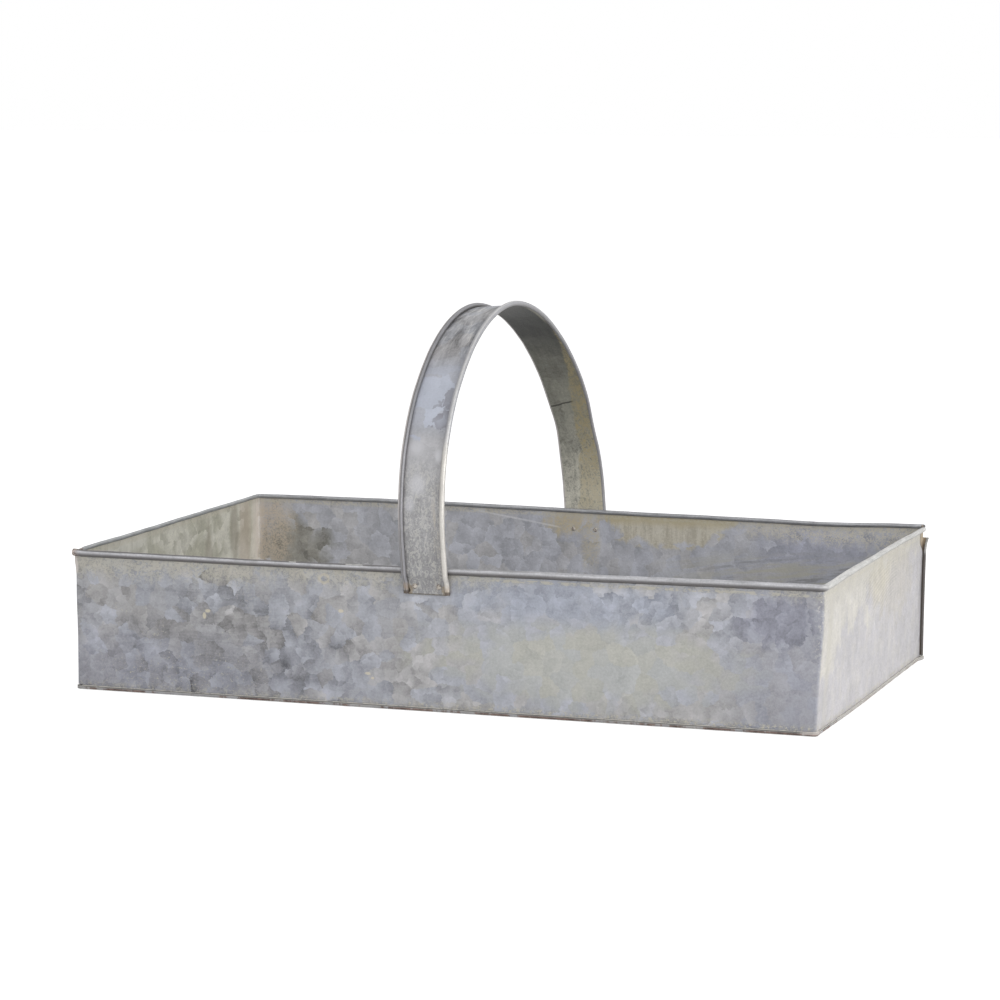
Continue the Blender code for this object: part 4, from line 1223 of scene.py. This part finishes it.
def strap_inside():
    """Dark olive-grey under the top of the arch, with an ochre stain along its right edge, clearing to a
    cream bloom speckled with grey towards the back foot."""
    fin, _, side, length, tone, _, small, drift, worm, grain, streak = strap_layers("strap_inside", 5.0)
    light = 1.0 + 0.14 * tone + 0.1 * small + drift + 1.25 * grain + 0.8 * streak
    grey = fin.mix(length.ramp(0.4, 0.5), (0.074, 0.075, 0.068), (0.33, 0.325, 0.275))
    grey = fin.mix(length.ramp(0.51, 0.6), grey, (0.56, 0.545, 0.47))
    front = length.ramp(0.3, 0.1)
    grey = fin.mix(front, grey, (0.4, 0.395, 0.37))
    fin.colour = fin.tinted(grey, light)
    speck = (worm + 0.6 * grain).ramp(-0.06, 0.08)
    ragged = side + 0.018 * drift + 0.1 * (length - 0.5)
    stain = ragged.ramp(0.0055, 0.0078) * length.ramp(0.385, 0.425)
    fin.coat(stain * (0.3 + 0.6 * speck), (0.52, 0.44, 0.255))
    lit_edge = side.ramp(0.0135, 0.016) * length.band(0.345, 0.36, 0.385, 0.405)
    fin.coat(0.6 * lit_edge * streak.ramp(-0.2, 0.0), (0.62, 0.6, 0.47))
    bloom = length.ramp(0.555, 0.6) * speck
    fin.coat(0.45 * bloom, (0.68, 0.65, 0.56))
    pits = (worm + 0.8 * grain).ramp(-0.05, -0.12) * length.ramp(0.48, 0.57)
    fin.coat(0.5 * pits, (0.2, 0.195, 0.175))
    # Painted shade along the pinch in the back leg.
    crease = abs(length - 0.5125 + 0.25 * side + 0.002 * streak).ramp(0.0011, 0.0004)
    fin.coat(0.75 * crease * side.ramp(0.006, 0.002), (0.04, 0.038, 0.033))
    foot = length.ramp(0.605, 0.615)
    fin.coat(0.4 * foot, (0.66, 0.63, 0.56))
    rough = 0.55 + 0.15 * drift + 0.3 * grain
    relief = 0.4 * tone + grain + 0.6 * worm + 0.4 * streak
    return fin.finished(rough, 0.22, relief, 0.0003)


def strap_roll():
    """The strap's rolled edges: the left one grey with a painted highlight on its outer side, the right one
    brighter, with a painted highlight along its ridge, painted shade on its outer edge and cream near the
    foot, both with painted shade towards the web and brown at their cut ends."""
    fin = Finish("strap_roll")
    lay = fin.read("lay")
    turn = fin.read("roll", "Fac")
    side, length, _ = fin.split(lay)
    streak = fin.noise(lay, 0.0022, 5.0, 0.75, stretch=(1.0, 0.12))
    blotch = fin.noise(lay, 0.014, 4.0, 0.65)
    grain = fin.noise(lay, 0.0016, 4.0, 0.75)
    light = 1.0 + 0.6 * streak + 0.4 * blotch + 0.5 * grain
    right = side.ramp(-0.001, 0.001)
    cream = right * (length + 0.02 * blotch).ramp(0.13, 0.1)
    base = fin.mix(right, (0.262, 0.26, 0.275), (0.395, 0.395, 0.415))
    # Painted highlight along the right roll's ridge.
    crest_highlight = abs(turn - 0.43).ramp(0.09, 0.03) * right
    base = fin.mix(0.7 * crest_highlight, base, (0.6, 0.595, 0.585))
    base = fin.mix(0.85 * cream, base, (0.62, 0.595, 0.55))
    # Painted highlight on the left roll's outer side, clear of the foot.
    rim_highlight = (turn + 0.05 * streak).ramp(0.48, 0.44) * (1 - right) * length.ramp(0.03, 0.09)
    base = fin.mix(0.8 * rim_highlight, base, (0.74, 0.69, 0.67))
    seam_line = abs(turn - 0.515 + 0.05 * streak).ramp(0.035, 0.015) * (1 - right)
    base = fin.mix(0.7 * seam_line, base, (0.13, 0.115, 0.105))
    fin.colour = fin.tinted(base, light)
    # Painted shade on the right roll's outer edge, then on both rolls where they curl back towards the web.
    under = turn.ramp(0.27, 0.2) * right
    fin.coat(0.45 * under, (0.2, 0.19, 0.18))
    dark = (turn + 0.05 * streak).ramp(0.68, 0.76)
    fin.coat(0.75 * dark, (0.095, 0.088, 0.082))
    near_end = length.ramp(0.012, 0.006) | length.ramp(0.624, 0.63)
    fin.coat(0.55 * near_end * blotch.ramp(-0.1, 0.1), (0.34, 0.25, 0.16))
    end = length.ramp(0.0042, 0.0026) | length.ramp(0.6325, 0.634)
    fin.coat(0.85 * end, (0.075, 0.055, 0.042))
    return fin.finished(0.44 + 0.25 * blotch, 0.38, streak + 0.8 * grain, 0.0004)


strap_parts = strap_surface()
strap_middle, strap_kept, strap_lay, strap_rolled, strap_bead = strap_parts[:5]
hoop, hoop_out, hoop_x, hoop_tilt, hoop_pinch = strap_parts[5:]
handle_strap = sheet_metal(
    "strap_hoop", strap_middle, strap_kept, [strap_outside(), strap_inside(), strap_roll()],
    np.where(strap_bead, 2, 0), np.where(strap_bead, 2, 1), strap_lay, strap_rolled,
)
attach(handle_strap, "root")
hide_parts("handle_strap")


# Handle wires. A thin steel wire runs in each rolled edge of the strap and stops at the feet, where its
# rusty end shows.

for label, node_name, hand, recess in (
    ("wire_handle_left", "handle_wire_left", -1.0, 9),
    ("wire_handle_right", "handle_wire_right", 1.0, 6),
):
    inside = slice(recess, len(hoop) - recess)
    cos_tilt, sin_tilt = np.cos(hoop_tilt[inside]), np.sin(hoop_tilt[inside])
    out_y, out_z = hoop_out[inside].T
    sideways = np.stack([cos_tilt, 0 * cos_tilt, sin_tilt], axis=1)
    wire_out = np.stack([-out_z * sin_tilt, out_y, out_z * cos_tilt], axis=1)
    reach = hand * STRAP_CENTRE * hoop_pinch[inside, None]
    wire_path = np.column_stack([hoop_x, hoop])[inside] + reach * sideways + STRAP_RADIUS * wire_out
    wire_size = np.full(len(wire_path), STRAP_RADIUS - SHEET / 2 - CLEARANCE)
    wire(label, node_name, wire_path, sideways, wire_out, wire_size, 12)


# Fixings. Two small flattened rivets side by side hold each foot of the strap to its wall.

RIVET_HEAD_RADIUS = 0.0021
RIVET_TAIL_RADIUS = 0.0018
RIVET_SHANK_RADIUS = 0.0012
RIVET_INSET = 0.0098
RIVET_HEIGHT = 0.0971
RIVET_HEAD_RISE = 0.0009
RIVET_TAIL_RISE = 0.0007


def rivet_finish():
    """Pale zinc smear with tan and dark spots."""
    fin = Finish("rivet_zinc")
    place = fin.node("TexCoord", {}, give="Object")
    blotch = fin.noise(place, 0.0016, 4.0, 0.7)
    grain = fin.noise(place, 0.0005, 3.0, 0.7)
    fin.colour = fin.mix(blotch.ramp(-0.1, 0.12), (0.62, 0.58, 0.52), (0.2, 0.16, 0.13))
    return fin.finished(0.55 + 0.2 * grain, 0.3, blotch + grain, 0.0002)


def rivet(name, node, hand, side, seed):
    """A turned profile about Y with an uneven edge: radius times 1 + a small sum of sines of the angle."""
    dome = arc((0.0, 0.0), 1.0, 0.0, math.pi / 2, 6)[:-1]
    head_face, tail_face = HALF_WIDTH + LAYER + CLEARANCE, HALF_WIDTH - SHEET - CLEARANCE
    profile = np.concatenate([
        [0.0, head_face] + dome[::-1] * [RIVET_HEAD_RADIUS, RIVET_HEAD_RISE],
        [[RIVET_SHANK_RADIUS, head_face], [RIVET_SHANK_RADIUS, tail_face]],
        [0.0, tail_face] + dome * [RIVET_TAIL_RADIUS, -RIVET_TAIL_RISE],
    ])
    angle = np.linspace(0.0, 2 * math.pi, 25)[:-1]
    uneven = 1 + 0.07 * np.sin(3 * angle + seed) + 0.05 * np.sin(5 * angle + 2 * seed)
    middle_x = hand * RIVET_INSET + FOOT_SHIFT + FOOT_SKEW * side * FOOT_Y / (2 * HALF_WIDTH)
    middle_x -= math.tan(LEAN) * (RIVET_HEIGHT - FOOT_BOTTOM)
    x = middle_x + profile[:, :1] * (np.cos(angle) * uneven)
    z = RIVET_HEIGHT + profile[:, :1] * (np.sin(angle) * uneven)
    rings = np.stack([x, side * profile[:, 1:] + 0 * x, z], axis=2)
    tube(name, node, rings, side < 0, rivet_zinc, rings.reshape(-1, 3))


rivet_zinc = rivet_finish()
rivet("fixing_front_left", "rivet_front_left", -1.0, -1.0, 0.4)
rivet("fixing_front_right", "rivet_front_right", 1.0, -1.0, 2.1)
rivet("fixing_rear_left", "rivet_rear_left", -1.0, 1.0, 3.3)
rivet("fixing_rear_right", "rivet_rear_right", 1.0, 1.0, 5.2)


# Studio. A white floor and white surroundings, a broad soft lamp on the right and a weaker one in front.

FLOOR_REACH = 30.0
FLOOR_DROP = 0.0004


def pale_floor():
    """White to the camera, a soft shadow under the crate."""
    fin = Finish("studio_floor")
    fin.feed(fin.shader, {"Base Color": (0.86, 0.86, 0.86, 1.0), "Roughness": 0.9})
    plain = Value(fin, fin.shader.outputs[0])
    glow = fin.node("Emission", {"Color": (1.0, 1.0, 1.0, 1.0), "Strength": 0.62})
    both = fin.node("AddShader", {0: plain, 1: glow})
    chosen = fin.node("MixShader", {0: fin.seen(), 1: plain, 2: both})
    fin.feed(fin.tree.nodes["Material Output"], {"Surface": chosen})
    return fin.material


floor_mesh = bpy.data.meshes.new("studio_floor")
floor_corners = FLOOR_REACH * np.array([(-1, -1), (1, -1), (1, 1), (-1, 1)])
floor_mesh.from_pydata([(*corner, -FLOOR_DROP) for corner in floor_corners.tolist()], [], [(0, 1, 2, 3)])
floor_mesh.materials.append(pale_floor())
studio_floor = bpy.data.objects.new("studio_floor", floor_mesh)
bpy.context.scene.collection.objects.link(studio_floor)

world = bpy.data.worlds.new("studio")
bpy.context.scene.world = world
world.use_nodes = True
sky = Nodes(world.node_tree)
strength = sky.node("MapRange", {"Value": sky.seen(), "To Min": 0.5, "To Max": 1.0})
sky.feed(sky.tree.nodes["Background"], {"Color": (1.0, 1.0, 1.0, 1.0), "Strength": strength})


def soft_lamp(name, place, aim, size, power):
    """A square area lamp that faces aim."""
    data = bpy.data.lights.new(name, "AREA")
    data.size = size
    data.energy = power
    lamp = bpy.data.objects.new(name, data)
    lamp.location = place
    way = np.array(aim) - np.array(place)
    pitch = math.atan2(math.hypot(way[0], way[1]), -way[2])
    lamp.rotation_euler = (pitch, 0.0, math.atan2(-way[0], way[1]))
    bpy.context.scene.collection.objects.link(lamp)


soft_lamp("lamp_right", (2.6, -0.9, 1.5), (0.0, 0.0, 0.1), 1.6, 46.0)
soft_lamp("lamp_front", (-0.8, -3.0, 1.9), (0.0, 0.0, 0.1), 2.0, 16.0)


# Camera. It stands a little above the rim, in front of the crate and to its right.

VIEW_AZIMUTH = 0.3211856
VIEW_ELEVATION = 0.1202737
VIEW_ROLL = 0.0045905
FOCAL_PIXELS = 3414.94
FRAME_PIXELS = 1000.0
AIM = np.array([0.0, 0.0, 0.1])
AIM_PIXEL = (512.927, 552.541)
DISTANCE = 2.78267

ahead = np.array([
    -math.sin(VIEW_AZIMUTH) * math.cos(VIEW_ELEVATION),
    math.cos(VIEW_AZIMUTH) * math.cos(VIEW_ELEVATION),
    -math.sin(VIEW_ELEVATION),
])
level_right = np.cross(ahead, [0.0, 0.0, 1.0])
level_right /= np.linalg.norm(level_right)
level_up = np.cross(level_right, ahead)
right = math.cos(VIEW_ROLL) * level_right + math.sin(VIEW_ROLL) * level_up
up = -math.sin(VIEW_ROLL) * level_right + math.cos(VIEW_ROLL) * level_up
aim_right = (AIM_PIXEL[0] - FRAME_PIXELS / 2) / FOCAL_PIXELS
aim_down = (AIM_PIXEL[1] - FRAME_PIXELS / 2) / FOCAL_PIXELS
eye = AIM - DISTANCE * (ahead + aim_right * right - aim_down * up)
camera_data = bpy.data.cameras.new("camera")
camera_data.sensor_width = 36.0
camera_data.lens = FOCAL_PIXELS / FRAME_PIXELS * camera_data.sensor_width
camera_data.clip_end = 100.0
camera = bpy.data.objects.new("camera", camera_data)
turned_to = np.stack([right, up, -ahead], axis=1)
placed = np.eye(4)
placed[:3, :3], placed[:3, 3] = turned_to, eye
camera.matrix_world = Matrix(placed.tolist())
bpy.context.scene.collection.objects.link(camera)
bpy.context.scene.camera = camera
bpy.context.scene.view_settings.view_transform = "Standard"
